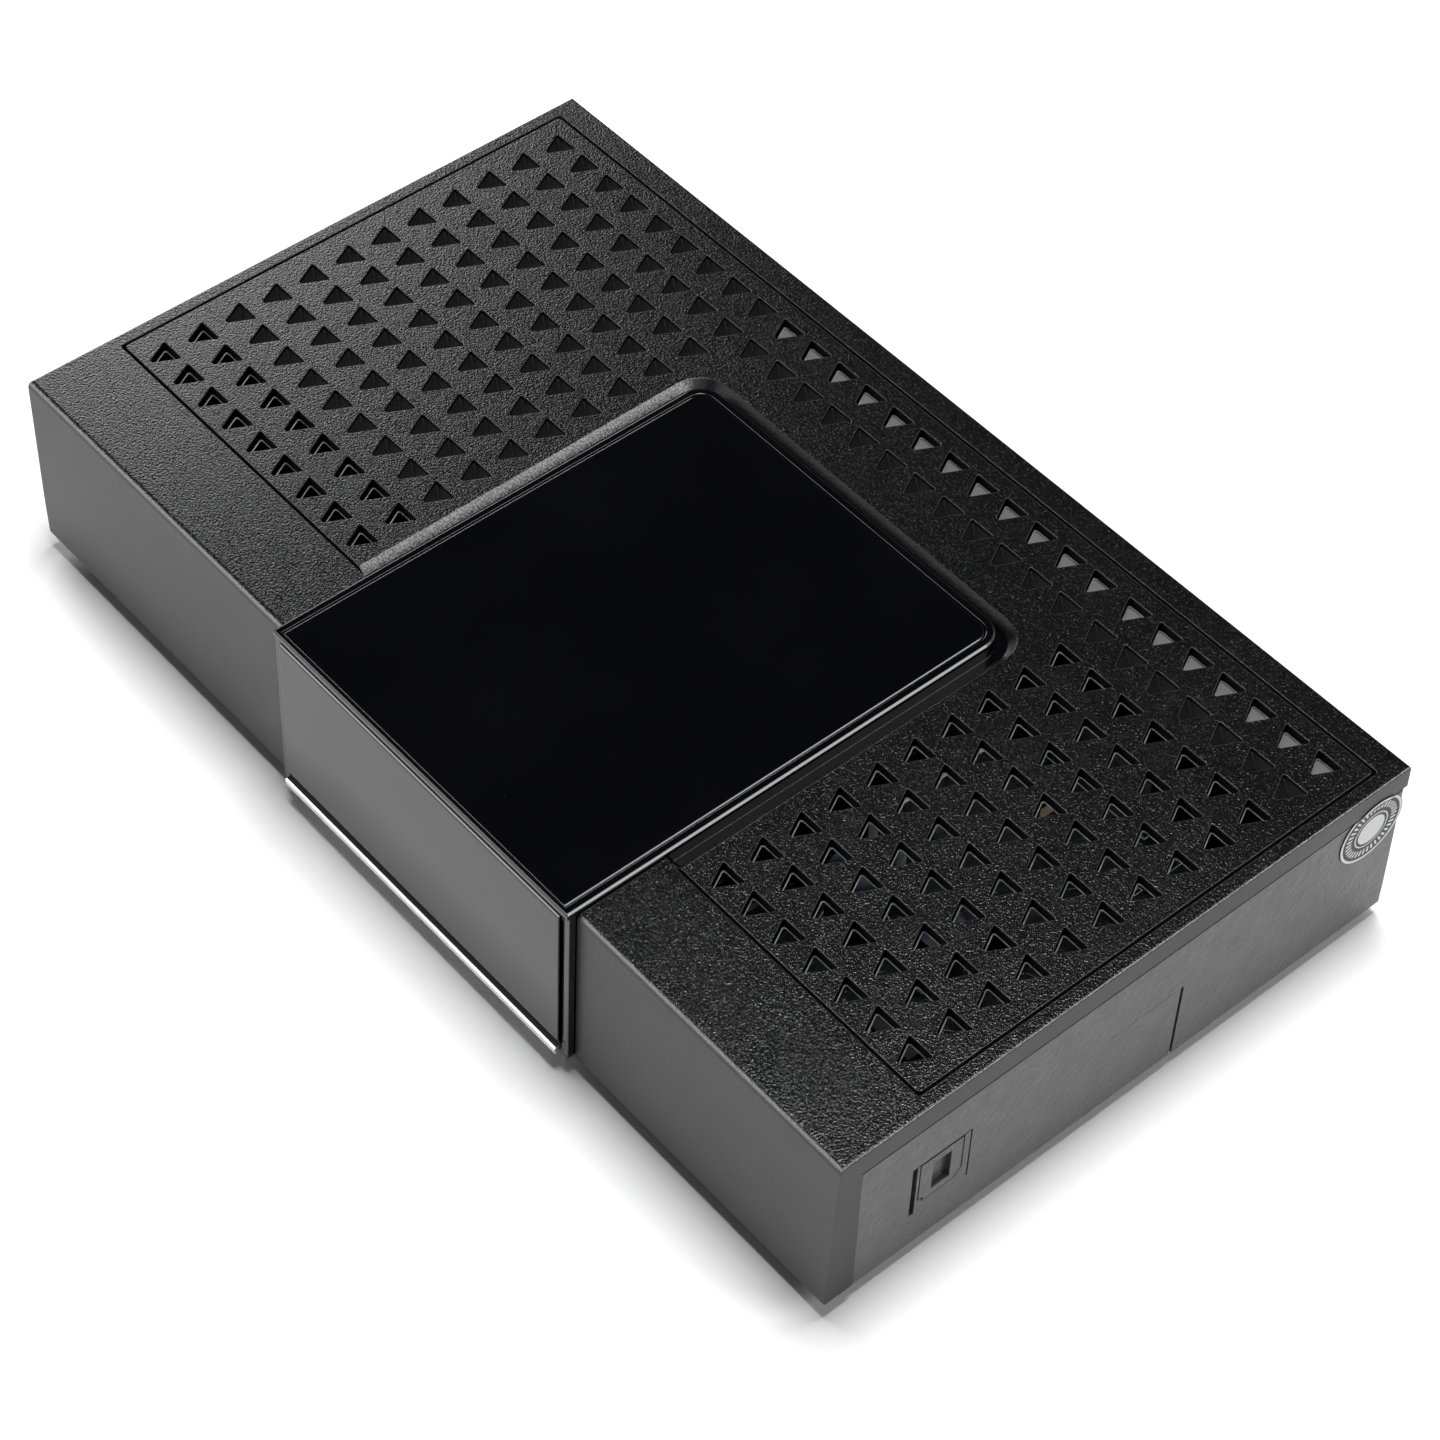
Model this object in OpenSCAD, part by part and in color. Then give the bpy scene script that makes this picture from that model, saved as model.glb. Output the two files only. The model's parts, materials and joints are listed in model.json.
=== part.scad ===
// Cable television receiver: a flat plastic case with a vented lid, a raised gloss centre
// with a front flap, and the boards, sockets and controls that it holds.
// Case coordinates: x from the middle of the case, y backwards from the front top edge,
// z up from the table. The whole is moved forwards so that the origin is under its middle.

/* [Case] */
// Width of the top cover
case_w = 168; // [166:1:190]
// Depth of the top cover, from its front top edge to its back face
case_d = 95.2; // [94:0.2:110]
// Height of the case without its feet
case_h = 28.6; // [28:0.2:40]
// Height of the rubber feet below the case
foot_h = 2.4; // [1.6:0.2:6]
// Thickness of the outer walls
wall = 2; // [1.6:0.1:2.4]
// Thickness of the base floor
floor_t = 2; // [1.8:0.1:3]
// How far the front face leans forward from top to bottom
front_lean = 0.95; // [0.2:0.05:1.6]
// How far the rear face leans backward from top to bottom
rear_lean = 1.2; // [0.2:0.05:1.8]
// How far each side draws in from top to bottom
side_draft = 0.5; // [0.1:0.05:1]
// Radius of the top front edge
front_edge_r = 1; // [0.4:0.1:1.4]
// Radius of the other top edges
top_edge_r = 0.35; // [0.2:0.05:0.8]
// Radius of the upright corners
corner_r = 1; // [0.5:0.1:2]
// Height of the cover's skirt at the sides and the back
skirt_h = 3.9; // [3.7:0.1:5]
// Thickness of the skirt at the sides
skirt_t = 1.6; // [1.3:0.1:1.8]
// How far the front wall wraps round the sides
flank_d = 3.5; // [2.5:0.1:5]
// How far the base walls stand inside the cover's faces
base_inset = 0.3; // [0.1:0.05:0.4]
// Gap at the seams between cover and base
seam = 0.35; // [0.2:0.05:0.5]
// Height of the open slit under the front wall
front_slit = 0.6; // [0.3:0.1:1]

/* [Vent field] */
// Thickness of the grille plate
grille_t = 1.7; // [1.4:0.1:2.2]
// Thickness of the ledge under the grille
ledge_t = 1.2; // [1:0.1:1.6]
// Width of the ledge under the grille
ledge_w = 1.7; // [1.4:0.1:2]
// Width of the groove round the grille
groove_w = 0.5; // [0.3:0.05:0.7]
// Front edge of the field, from the front of the case
field_front = 13.8; // [13.4:0.1:15]
// Margin of the field at the sides of the case
field_side = 2; // [1.8:0.1:2.4]
// Margin of the field at the back of the cover
field_back = 3.9; // [3.4:0.1:4.2]
// Spacing of the vents across the case
vent_pitch_x = 5.65; // [5.4:0.05:7]
// Spacing of the vents front to back
vent_pitch_y = 6.3; // [6:0.05:8]
// Length of a vent's back edge
vent_base = 4.2; // [3.4:0.1:4.4]
// Width of a vent's blunt front tip
vent_tip = 0.6; // [0.3:0.1:1]
// Length of a vent front to back
vent_len = 3.7; // [3:0.1:4]
// Cut across the two back corners of a vent
vent_cut = 0.25; // [0.1:0.05:0.4]
// Depth of a blind vent
pit_depth = 1.35; // [1:0.05:1.35]
// Height of a blind vent's upright wall
pit_wall = 0.6; // [0.3:0.05:0.7]
// From the side of the field to the first column of vents
vent_side = 5.3; // [5:0.1:6]
// From the back of the field to the first row of vents
vent_back = 4.8; // [4.4:0.1:5.4]
// Width of the bar under the second row of vents
bar_w = 6.4; // [5:0.2:7]

/* [Centre panel] */
// Middle of the panel, to the right of the case's middle
panel_x = 5.4; // [4:0.1:7]
// Half width of the bezel
bezel_half = 30.3; // [30.1:0.1:31]
// Width of the bezel's rim beside the gloss plate
rim_w = 1.2; // [1:0.1:1.4]
// Back of the bezel, from the back of the case
bezel_rear = 24.2; // [23.7:0.1:27.2]
// Height of the bezel above the cover
panel_rise = 0.9; // [0.7:0.1:1.4]
// Thickness of the gloss plate
gloss_t = 0.8; // [0.6:0.05:0.9]
// Gap round the gloss plate
gloss_gap = 0.12; // [0.05:0.01:0.2]
// Radius of the bezel's back corners
bezel_r = 3.6; // [2.5:0.1:5]
// Bevel of the gloss plate and the bezel
edge_bevel = 0.3; // [0.15:0.05:0.4]
// Gap between the bezel and the grille at the sides and the back
recess_gap = 1.5; // [1:0.1:2]
// Width and depth of the bevel round the grille's opening
opening_bevel = 1.1; // [0.6:0.1:1.3]
// How far the bezel's flange reaches under the grille
flange_reach = 2.2; // [1.5:0.1:2.6]
// Depth of the bezel's front box behind the flap
box_depth = 6.5; // [6:0.1:7]

/* [Front flap] */
// How far the flap stands ahead of the front top edge
flap_proud = 1.6; // [1.4:0.1:2]
// Drop of the flap's top below the cover
flap_drop = 0.6; // [0.55:0.05:0.8]
// Rounding of the flap's top front edge
flap_edge_r = 0.5; // [0.4:0.05:0.6]
// Height of the flap's lower edge above the bottom of the case
flap_rise = 2.35; // [2.2:0.05:3]
// Height of the flap's tucked-in lower edge
tuck_h = 1.15; // [0.8:0.05:1.3]
// Depth of the flap's tucked-in lower edge
tuck_d = 0.6; // [0.4:0.05:0.8]
// Thickness of the flap
flap_t = 1.6; // [1.2:0.1:1.8]
// Radius of the hinge barrel along the flap's top edge
barrel_r = 1.3; // [1.1:0.05:1.4]
// Gap between the flap and the bezel's columns
flap_side_gap = 0.3; // [0.2:0.05:0.5]
// How far the bezel's columns stand behind the flap's face
column_set = 0.5; // [0.3:0.05:0.8]
// How far the finger lip stands ahead of the flap
lip_proud = 0.5; // [0.4:0.05:0.8]
// Height of the finger lip
lip_h = 1.5; // [1.2:0.1:1.6]
// Radius of the hinge pins
pin_r = 0.6; // [0.4:0.05:0.7]
// Radial clearance of the hinge pins in the flap
pin_clear = 0.05; // [0.03:0.01:0.08]
// Length of a hinge pin inside the flap
pin_in_flap = 5; // [3:0.5:8]
// Length of a hinge pin inside the bezel
pin_in_bezel = 0.9; // [0.6:0.1:1]

/* [Controls] */
// Front face of the fascia, from the front of the case
fascia_y = 2.4; // [2.2:0.1:3]
// Thickness of the fascia
fascia_t = 1.6; // [1.2:0.1:1.8]
// Diameter of the standby button
standby_d = 6; // [5:0.1:6.4]
// Diameter of a channel button
channel_d = 5; // [4:0.1:6]
// Spacing of the buttons
key_pitch = 9; // [8:0.1:9.4]
// Clearance round a button
key_clear = 0.25; // [0.15:0.05:0.35]
// How far a button stands out of the fascia
key_proud = 1; // [0.6:0.1:1.2]
// Travel of a button
key_travel = 0.4; // [0.2:0.05:0.5]
// Width of the flange behind a button
key_flange = 0.7; // [0.5:0.1:0.9]
// Width of the display window
display_w = 30; // [24:0.5:31]
// Height of the display window
display_h = 7; // [5:0.2:7.4]

/* [Boards] */
// Height of the board posts above the floor
standoff_h = 5.2; // [5:0.1:7]
// Thickness of a circuit board
board_t = 1.6; // [1:0.1:2]
// Gap between the main board and each side of the case
board_side = 14; // [12:0.5:15]
// From each side of the case to a column of board posts
post_side = 20; // [18:0.5:22]
// Front row of board posts
post_y0 = 20; // [16:0.5:24]
// Back row of board posts
post_y1 = 80; // [74:0.5:82]

/* [Rear sockets] */
// Thickness of the tin shield behind the rear wall
shield_t = 0.4; // [0.3:0.05:0.6]
// How far the connector field is set into the rear wall
field_inset = 0.2; // [0.1:0.05:0.4]
// Clearance of the rear wall and the shield round a socket
socket_clear = 0.3; // [0.2:0.05:0.5]
// Outer radius of the aerial output barrel
rf_out_r = 4.76; // [4.5:0.02:5]
// Inner radius of the aerial input barrel
rf_in_r = 4.8; // [4.5:0.02:5]
// Length of the aerial barrels outside the rear wall
rf_len = 4.8; // [4:0.1:6]
// Room round the output barrel in the rear wall, for the plug's sleeve
rf_room = 2; // [1.5:0.1:2.2]
// Width of the tuner
tuner_w = 32; // [30:1:36]
// Depth of the tuner
tuner_d = 18; // [15:1:20]
// Height of the tuner
tuner_h = 13; // [12.4:0.2:15]

/* [Hidden] */
$fn = 48;

// Steps in a drawn arc, the turn of the case's rounded edges, and the overrun that lets a cut pass clean through a face
arc_steps = 8;
edge_turn = 75;
over = 1;

// Heights in the case
top_z = foot_h + case_h;
floor_z = foot_h + floor_t;
board_z = floor_z + standoff_h;
board_top = board_z + board_t;
parting_z = top_z - skirt_h;
ledge_z = top_z - grille_t;
deck_z = ledge_z - ledge_t;
front_low_z = foot_h + front_slit;

// Main board's place behind the bezel's columns, and the gap that the boards keep
board_gap = 0.6;
board_front = box_depth + board_gap;
board_w = case_w - 2 * board_side;
post_x = case_w - 2 * post_side;
part_room = 0.6;

// Walls and seams of the case
inner_half = case_w / 2 - side_draft - base_inset - wall;
tongue_t = 0.8;
tongue_rise = 0.7;
rear_inner = case_d - wall - field_inset;
connector_face = case_d - field_inset;
rear_skirt_in = rear_inner + tongue_t + seam / 2;

// Vent field
field_half = case_w / 2 - field_side;
field_end = case_d - field_back;
back_trim = 0.35;
corner_grow = 0.3;
bezel_back = case_d - bezel_rear;
opening_half = bezel_half + recess_gap + opening_bevel;
opening_back = bezel_back + recess_gap + opening_bevel - back_trim;
opening_r = bezel_r + opening_bevel + corner_grow;
first_x = vent_side - field_half;
last_x = field_half - vent_side;
first_y = field_end - vent_back;
vent_room = 2.5;
left_columns = floor((panel_x - opening_half - vent_room - first_x) / vent_pitch_x) + 1;
right_columns = floor((last_x - panel_x - opening_half - vent_room) / vent_pitch_x) + 1;
right_x = last_x - (right_columns - 1) * vent_pitch_x;
mid_columns = floor((right_x - first_x) / vent_pitch_x - 1) - left_columns + 1;
vent_rows = floor((first_y - field_front - vent_room) / vent_pitch_y) + 1;
mid_rows = floor((first_y - vent_len / 2 - opening_back) / vent_pitch_y) + 1;
open_front_rows = 2;
bar_y = first_y - vent_pitch_y;

// Centre panel
nose_share = 0.4;
bezel_play = 0.15;
tray_t = 1;
strip_t = 0.55;
strip_set = 0.2;
strip_low = 0.1;
barrel_room = 0.4;
rim_half = bezel_half - rim_w;
gloss_half = rim_half - gloss_gap;
panel_top = top_z + panel_rise;
gloss_z = panel_top - gloss_t;
strip_front = strip_set - flap_proud;
gloss_front = strip_front + strip_t + gloss_gap / 2;
gloss_back = bezel_back - rim_w - gloss_gap;
flange_half = opening_half - opening_bevel + flange_reach;
flange_front = field_front + ledge_w - groove_w + bezel_play;

// Front flap: its barrel, its leaning face and its lip
lean = front_lean / case_h;
flap_half = rim_half - flap_side_gap;
flap_top = top_z - flap_drop;
flap_low = foot_h + flap_rise;
barrel_sink = 0.1;
hinge_y = barrel_r - flap_proud;
hinge_z = flap_top - barrel_r;
lip_low = flap_low - lip_h;
lip_front = flap_face_y(flap_low) - lip_proud;
pin_end_gap = 0.3;

// Fascia and buttons
key_rise = 3.9;
key_z = board_top + key_rise;
standby_side = 22.5;
standby_x = panel_x - standby_side;
down_x = standby_x + key_pitch;
up_x = down_x + key_pitch;
fascia_back = fascia_y + fascia_t;
fascia_high = gloss_z - tray_t;
flange_t = 0.8;
flange_gap = 0.3;
flange_y = fascia_back + flange_gap;
stem_r = 1.4;
stem_len = 0.5;
stem_back = flange_y + flange_t + stem_len;
plunger_r = 1.5;
plunger_len = 1.8;
plunger_clear = 0.15;
switch_gap = 0.6;
switch_y = stem_back + switch_gap;
switch_w = 6;
switch_d = 3.5;

// Front board with its display, receiver and lamp
front_board_half = 27;
front_board_y = switch_y + switch_d;
display_side = 10.5;
display_x = panel_x - display_side;
display_rise = 1.6;
display_z = key_z + standby_d / 2 + display_h / 2 + display_rise;
display_y = fascia_back + board_gap;
ir_side = 13;
ir_x = panel_x + ir_side;
ir_r = 2.5;
ir_neck = 1.5;
led_side = 21;
led_x = panel_x + led_side;
led_r = 1.5;
led_collar = 0.3;

// Front data socket
usb_side = 19.5;
usb_x = panel_x + usb_side;
usb_w = 13.1;
usb_h = 6.8;
usb_d = 14;
usb_open_h = 5.6;
usb_set = 0.4;
socket_floor = 2;
metal_t = 0.4;
tongue_w = 11;
tongue_h = 1;

// Card reader under the main board
card_w = 57;
card_d = 48;
card_h = 4.7;
slot_w = 54.8;
slot_h = 1.2;
slot_d = 45;
slot_drop = 2;
slot_z = board_z - slot_drop;
slot_mouth = 1.8;
contact_field = 14;
contact_y = 22;
contact_rows = 4;

// Screws, their posts and holes
screw_side = 8;
screw_y0 = 9;
screw_r = 1.45;
shank_clear = 0.15;
head_r = 2.7;
head_h = 1;
head_clear = 0.3;
screw_bite = 3.6;
post_r = 3;
pilot_r = 1.2;
pilot_depth = 8;
boss_rise = 1.4;

// Feet, rating label and slots in the floor
foot_side = 18;
foot_y0 = 12;
foot_back = 11.2;
foot_y1 = case_d - foot_back;
foot_r = 4.5;
foot_seat = 0.6;
foot_taper = 0.5;
label_w = 56;
label_d = 26;
label_y = 18;
label_t = 0.1;
slot_count = 10;
floor_slot_x = 40;
floor_slot_y = 50;
floor_slot_pitch = 4;
floor_slot_w = 2;
floor_slot_len = 24;

// Rear wall: the inset connector field
field_edge = 9;
field_low = 2.4;
field_head = 1.4;

// Aerial sockets on the tuner
tuner_x = 44;
rf_pitch = 16;
rf_rise = 5.9;
rf_z = board_top + rf_rise;
rf_collar = 0.5;
tuner_high = min(board_top + tuner_h, deck_z - part_room);
rf_wall = 0.8;
rf_core_r = 1.9;
rf_pin_r = 1.15;
rf_set = 1;
rear_reach = connector_face + rf_len;

// Network, video and optical sockets
lan_x = 18;
lan_w = 15.8;
lan_h = 13.2;
lan_d = 16;
lan_open_w = 12;
lan_open_h = 8.4;
lan_sill = 3.4;
lan_notch_w = 4.6;
lan_notch_h = 1.8;
hdmi_x = -2;
hdmi_w = 15;
hdmi_h = 6;
hdmi_d = 11;
hdmi_mouth = 4.5;
optical_x = -18;
optical_w = 9.7;
optical_h = 10;
optical_d = 13.5;
optical_open = 7.7;
axle_r = 0.4;
axle_len = 0.5;
shutter_t = 0.7;
shutter_gap = 0.3;
shutter_set = 1.8;
shutter_y = connector_face - shutter_set;
shutter_z = board_top + (optical_h + optical_open) / 2 - shutter_gap - shutter_t;

// Power inlet and rocker switch
dc_x = -42;
dc_w = 9;
dc_h = 11;
dc_d = 14;
dc_bore_r = 3;
dc_pin_r = 1;
dc_neck_r = 4;
dc_set = 0.2;
dc_z = board_top + dc_h / 2;
switch_side = 24;
switch_x = switch_side - case_w / 2;
rocker_rise = 5.6;
rocker_z = board_top + rocker_rise;
rocker_w = 12.8;
rocker_h = 7;
rocker_wall = 1;
rocker_end = 0.9;
rocker_gap = 0.3;
rocker_nose = 4.2;
rocker_dip = 3.4;
rocker_axle_r = 0.8;
rocker_set = 2.6;
rocker_y = connector_face - rocker_set;
rocker_tilt = 8;
housing_d = 11;
housing_rim = 0.8;
housing_lip = 1.2;

// Tin shield behind the rear wall
shield_x0 = -28;
shield_x1 = 74;
shield_drop = 1.5;
shield_room = 0.4;

// Closed optical outlet and upright seam in the right wall
knock_y = 12.4;
knock_w = 9.6;
knock_h = 10;
knock_drop = 12.1;
knock_slot = 0.8;
knock_line = 0.25;
knock_depth = 0.7;
plug_side = 1.2;
plug_y = knock_y + plug_side;
plug_w = 7.2;
plug_h = 8.2;
plug_high = top_z - knock_drop - knock_line;
plug_low = plug_high - plug_h;
plug_cut = 1.4;
plug_notch = 0.7;
plug_line = 0.2;
plug_groove = 0.35;
seam_y = 57.3;
seam_w = 0.5;
seam_drop = 14.4;
seam_depth = 0.6;
seam_line = 0.12;
seam_run = 12;

// Sealing sticker
seal_r = 5.6;
seal_t = 0.12;
seal_back = 5.2;
seal_y = case_d - seal_back;
seal_drop = 8.65;
seal_z = top_z - seal_drop;
seal_step = 0.8;

// Chips and heat sink on the main board
cpu_x = 42;
cpu_back = 40;
cpu_y = rear_inner - cpu_back;
cpu_w = 17;
chip_t = 1.4;
sink_w = 20;
sink_base = 1.6;
sink_h = 11.4;
fin_t = 1;
fin_count = 8;
ram_x = 12;
ram_back = 47;
ram_y = rear_inner - ram_back;
ram_w = 9;
ram_d = 11;
ram_pitch = 14;
flash_side = 10;
flash_x = board_w / 2 - flash_side;
flash_y = 26;
flash_w = 8;
flash_d = 6;
crystal_x = 25;
crystal_back = 53;
crystal_y = rear_inner - crystal_back;
crystal_w = 11;
crystal_d = 4.6;
crystal_h = 3.4;

// Electrolytic cans: spots as shares of the half board and its depth, sizes as shares of the largest
can_r = 5;
can_h = 14;
can_ring = 1.6;
can_pinch = 0.3;
can_spot_shares = [[-0.74, 0.4], [-0.74, 0.56], [0.68, 0.33], [0.85, 0.37], [0.56, 0.19], [-0.17, 0.28]];
can_size_shares = [[1, 1], [1, 1], [0.8, 0.82], [0.64, 0.64], [0.5, 0.57], [0.64, 0.64]];

// Moulded power coils, placed and sized in the same way
coil_w = 8;
coil_h = 4.2;
coil_spot_shares = [[-0.57, 0.48], [0.89, 0.5], [-0.57, 0.31]];
coil_size_shares = [1, 0.88, 0.88];

// Flat cable between the boards
ribbon_side = 12;
ribbon_x = panel_x - ribbon_side;
ribbon_rise = 9;
ribbon_z = board_top + ribbon_rise;
ribbon_run = 12;
ribbon_end = front_board_y + board_t + ribbon_run;
ribbon_t = 0.3;
plug_half = 6;
plug_len = 3.4;
plug_t = 2.6;

// Middle of the overall depth, which sets the origin
mid_y = (rear_reach + lip_front) / 2;

// Lean of the front and the rear, and draft of the sides, at a height
function front_y(z) = -lean * (top_z - z);
function rear_y(z) = case_d + rear_lean * (top_z - z) / case_h;
function side_x(z) = case_w / 2 - side_draft * (top_z - z) / case_h;
function flap_face_y(z) = -flap_proud - lean * (flap_top - z);

// Points along an arc, and round a rectangle with round corners
function arc(x, y, r, a0, a1) =
    [for (i = [0:arc_steps]) let (a = a0 + (a1 - a0) * i / arc_steps) [x + r * cos(a), y + r * sin(a)]];
function round_rect(x0, y0, x1, y1, r) = concat(
    arc(x1 - r, y1 - r, r, 0, 90), arc(x0 + r, y1 - r, r, 90, 180),
    arc(x0 + r, y0 + r, r, 180, 270), arc(x1 - r, y0 + r, r, 270, 360));

module in_frame() {
    translate([0, -mid_y, 0]) children();
}

// A flat outline in y and z, drawn out along x
module along_x(x0, x1) {
    translate([x0, 0, 0]) rotate([90, 0, 90]) linear_extrude(x1 - x0) children();
}

// A flat outline in x and z, drawn out along y
module along_y(y0, y1) {
    translate([0, y1, 0]) rotate([90, 0, 0]) linear_extrude(y1 - y0) children();
}

// A box between two corners
module block(low, high) {
    translate(low) cube(high - low);
}

// A round bar along y
module rod_y(x, y0, y1, z, r) {
    translate([x, y1, z]) rotate([90, 0, 0]) cylinder(r = r, h = y1 - y0);
}

// A round bar along x
module rod_x(x0, x1, y, z, r) {
    translate([x0, y, z]) rotate([0, 90, 0]) cylinder(r = r, h = x1 - x0);
}

// A plate between z0 and z1 whose faces draw in by a slope at the top, less so at the front, with round back corners
module sloped_plate(half, front, back, r, z0, z1, slope) {
    intersection() {
        along_y(front, back)
            polygon([[-half, z0], [half, z0], [half - slope, z1], [slope - half, z1]]);
        along_x(-half, half)
            polygon([[front, z0], [back, z0], [back - slope, z1], [front + max(slope, 0) * nose_share, z1]]);
        union() {
            block([-half - abs(slope), front - over, z0], [half + abs(slope), back - r, z1]);
            block([r - half, front - over, z0], [half - r, back + abs(slope), z1]);
            for (s = [-1, 1])
                translate([s * (half - r), back - r, z0]) cylinder(r1 = r, r2 = r - slope, h = z1 - z0);
        }
    }
}

// The outside of the case between two heights, drawn in from its faces
module case_body(inset, z0, z1, front_r, top_r) {
    intersection() {
        along_x(-case_w, case_w)
            polygon(concat(
                [[front_y(z0) + inset, z0], [front_y(z1 - front_r) + inset, z1 - front_r]],
                arc(front_y(z1 - front_r) + inset + front_r, z1 - front_r, front_r, 90 + edge_turn, 90),
                arc(rear_y(z1 - top_r) - inset - top_r, z1 - top_r, top_r, 90, 90 - edge_turn),
                [[rear_y(z1 - top_r) - inset, z1 - top_r], [rear_y(z0) - inset, z0]]));
        along_y(-case_d, 2 * case_d)
            polygon(concat(
                [[-side_x(z0) + inset, z0], [-side_x(z1 - top_r) + inset, z1 - top_r]],
                arc(-side_x(z1 - top_r) + inset + top_r, z1 - top_r, top_r, 90 + edge_turn, 90),
                arc(side_x(z1 - top_r) - inset - top_r, z1 - top_r, top_r, 90, 90 - edge_turn),
                [[side_x(z1 - top_r) - inset, z1 - top_r], [side_x(z0) - inset, z0]]));
        translate([0, 0, z0 - over])
            linear_extrude(z1 - z0 + 2 * over)
                polygon(round_rect(inset - case_w / 2, front_y(z0) + inset,
                    case_w / 2 - inset, rear_y(z0) - inset, corner_r));
    }
}

// One vent's outline about its middle: wide edge at the back, blunt tip at the front
function vent_points() = [
    [vent_base / 2 - vent_cut, vent_len / 2], [vent_cut - vent_base / 2, vent_len / 2],
    [-vent_base / 2, vent_len / 2 - vent_cut], [-vent_tip / 2, -vent_len / 2],
    [vent_tip / 2, -vent_len / 2], [vent_base / 2, vent_len / 2 - vent_cut]];

// A blind vent: an upright wall, then a point below the middle of the wide part
module pit() {
    outline = vent_points();
    n = len(outline);
    points = concat([for (p = outline) [p[0], p[1], over]], [for (p = outline) [p[0], p[1], -pit_wall]],
        [[0, vent_len / 6, -pit_depth]]);
    faces = concat([[for (i = [0:n - 1]) n - 1 - i]],
        [for (i = [0:n - 1]) [i, (i + 1) % n, n + (i + 1) % n, n + i]],
        [for (i = [0:n - 1]) [n + i, n + (i + 1) % n, 2 * n]]);
    polyhedron(points, faces);
}

// Every vent's place: x, y and whether it is open
function vent_places() = concat(
    [for (c = [0:left_columns - 1], r = [0:vent_rows - 1])
        [first_x + c * vent_pitch_x, first_y - r * vent_pitch_y, r >= vent_rows - open_front_rows]],
    [for (c = [0:mid_columns - 1], r = [0:mid_rows - 1])
        [first_x + (left_columns + c) * vent_pitch_x, first_y - r * vent_pitch_y, r == 0]],
    [for (c = [0:right_columns - 1], r = [0:vent_rows - 1])
        [right_x + c * vent_pitch_x, first_y - r * vent_pitch_y, r != 1]]);

module top_cover() {
    color("#2b2b2c") in_frame() {
        difference() {
            case_body(0, front_low_z, top_z, front_edge_r, top_edge_r);
            // Hollow under the top, and the ledge that carries the grille
            block([skirt_t - case_w / 2, wall, front_low_z - over], [case_w / 2 - skirt_t, rear_skirt_in, deck_z]);
            translate([0, 0, ledge_z])
                linear_extrude(grille_t + over)
                    polygon(round_rect(-field_half, field_front, field_half, field_end, groove_w));
            translate([0, 0, deck_z - over])
                linear_extrude(ledge_t + 2 * over)
                    polygon(round_rect(ledge_w - field_half, field_front + ledge_w - groove_w,
                        field_half - ledge_w, bar_y - bar_w / 2, groove_w));
            translate([0, 0, deck_z - over])
                linear_extrude(ledge_t + 2 * over)
                    polygon(round_rect(ledge_w - field_half, bar_y + bar_w / 2,
                        field_half - ledge_w, field_end - ledge_w, groove_w));
            // Sides and back below the skirt, which belong to the base
            block([-case_w, flank_d, 0], [case_w, 2 * case_d, parting_z]);
            // Opening for the centre panel, through the top and the front wall
            block([panel_x - bezel_half - bezel_play, -case_d, 0],
                [panel_x + bezel_half + bezel_play, field_front + ledge_w, top_z + over]);
        }
        // Screw posts under the front strip and under the bar
        for (s = [-1, 1], y = [screw_y0, bar_y])
            translate([s * (case_w / 2 - screw_side), y, floor_z + boss_rise])
                difference() {
                    cylinder(r = post_r, h = deck_z - floor_z - boss_rise);
                    translate([0, 0, -over]) cylinder(r = pilot_r, h = pilot_depth + over);
                }
    }
}

module vent_grille() {
    places = vent_places();
    half = field_half - groove_w;
    color("#262627") in_frame() difference() {
        translate([0, 0, ledge_z])
            linear_extrude(grille_t)
                difference() {
                    polygon(round_rect(-half, field_front + groove_w, half, field_end - groove_w, groove_w));
                    for (p = places)
                        if (p[2]) translate([p[0], p[1]]) polygon(vent_points());
                }
        for (p = places)
            if (!p[2]) translate([p[0], p[1], top_z]) pit();
        translate([panel_x, 0, 0]) panel_opening();
    }
}

// Opening for the centre panel, bevelled along its top edge
module panel_opening() {
    half = opening_half - opening_bevel;
    back = opening_back - opening_bevel;
    r = opening_r - opening_bevel;
    bevel_z = top_z - opening_bevel;
    low = ledge_z - over;
    high = top_z + over;
    along_y(0, back - r)
        polygon([[-half, low], [half, low], [half, bevel_z], [opening_half, top_z], [opening_half, high],
            [-opening_half, high], [-opening_half, top_z], [-half, bevel_z]]);
    along_x(r - half, half - r)
        polygon([[0, low], [back, low], [back, bevel_z], [opening_back, top_z], [opening_back, high], [0, high]]);
    for (s = [-1, 1])
        translate([s * (half - r), back - r, low])
            rotate_extrude()
                polygon([[0, 0], [r, 0], [r, bevel_z - low], [opening_r, top_z - low], [opening_r, high - low], [0, high - low]]);
}

// Holes through the rear wall and the shield, grown by a clearance, with more room round the output barrel
module socket_holes(grow, room, y0, y1) {
    block([lan_x - lan_w / 2 - grow, y0, board_top - grow], [lan_x + lan_w / 2 + grow, y1, board_top + lan_h + grow]);
    block([hdmi_x - hdmi_w / 2 - grow, y0, board_top - grow],
        [hdmi_x + hdmi_w / 2 + grow, y1, board_top + hdmi_h + grow]);
    block([optical_x - optical_w / 2 - grow, y0, board_top - grow],
        [optical_x + optical_w / 2 + grow, y1, board_top + optical_h + grow]);
    rod_y(tuner_x - rf_pitch / 2, y0, y1, rf_z, rf_in_r + rf_wall + grow);
    rod_y(tuner_x + rf_pitch / 2, y0, y1, rf_z, rf_out_r + room);
}

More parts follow.
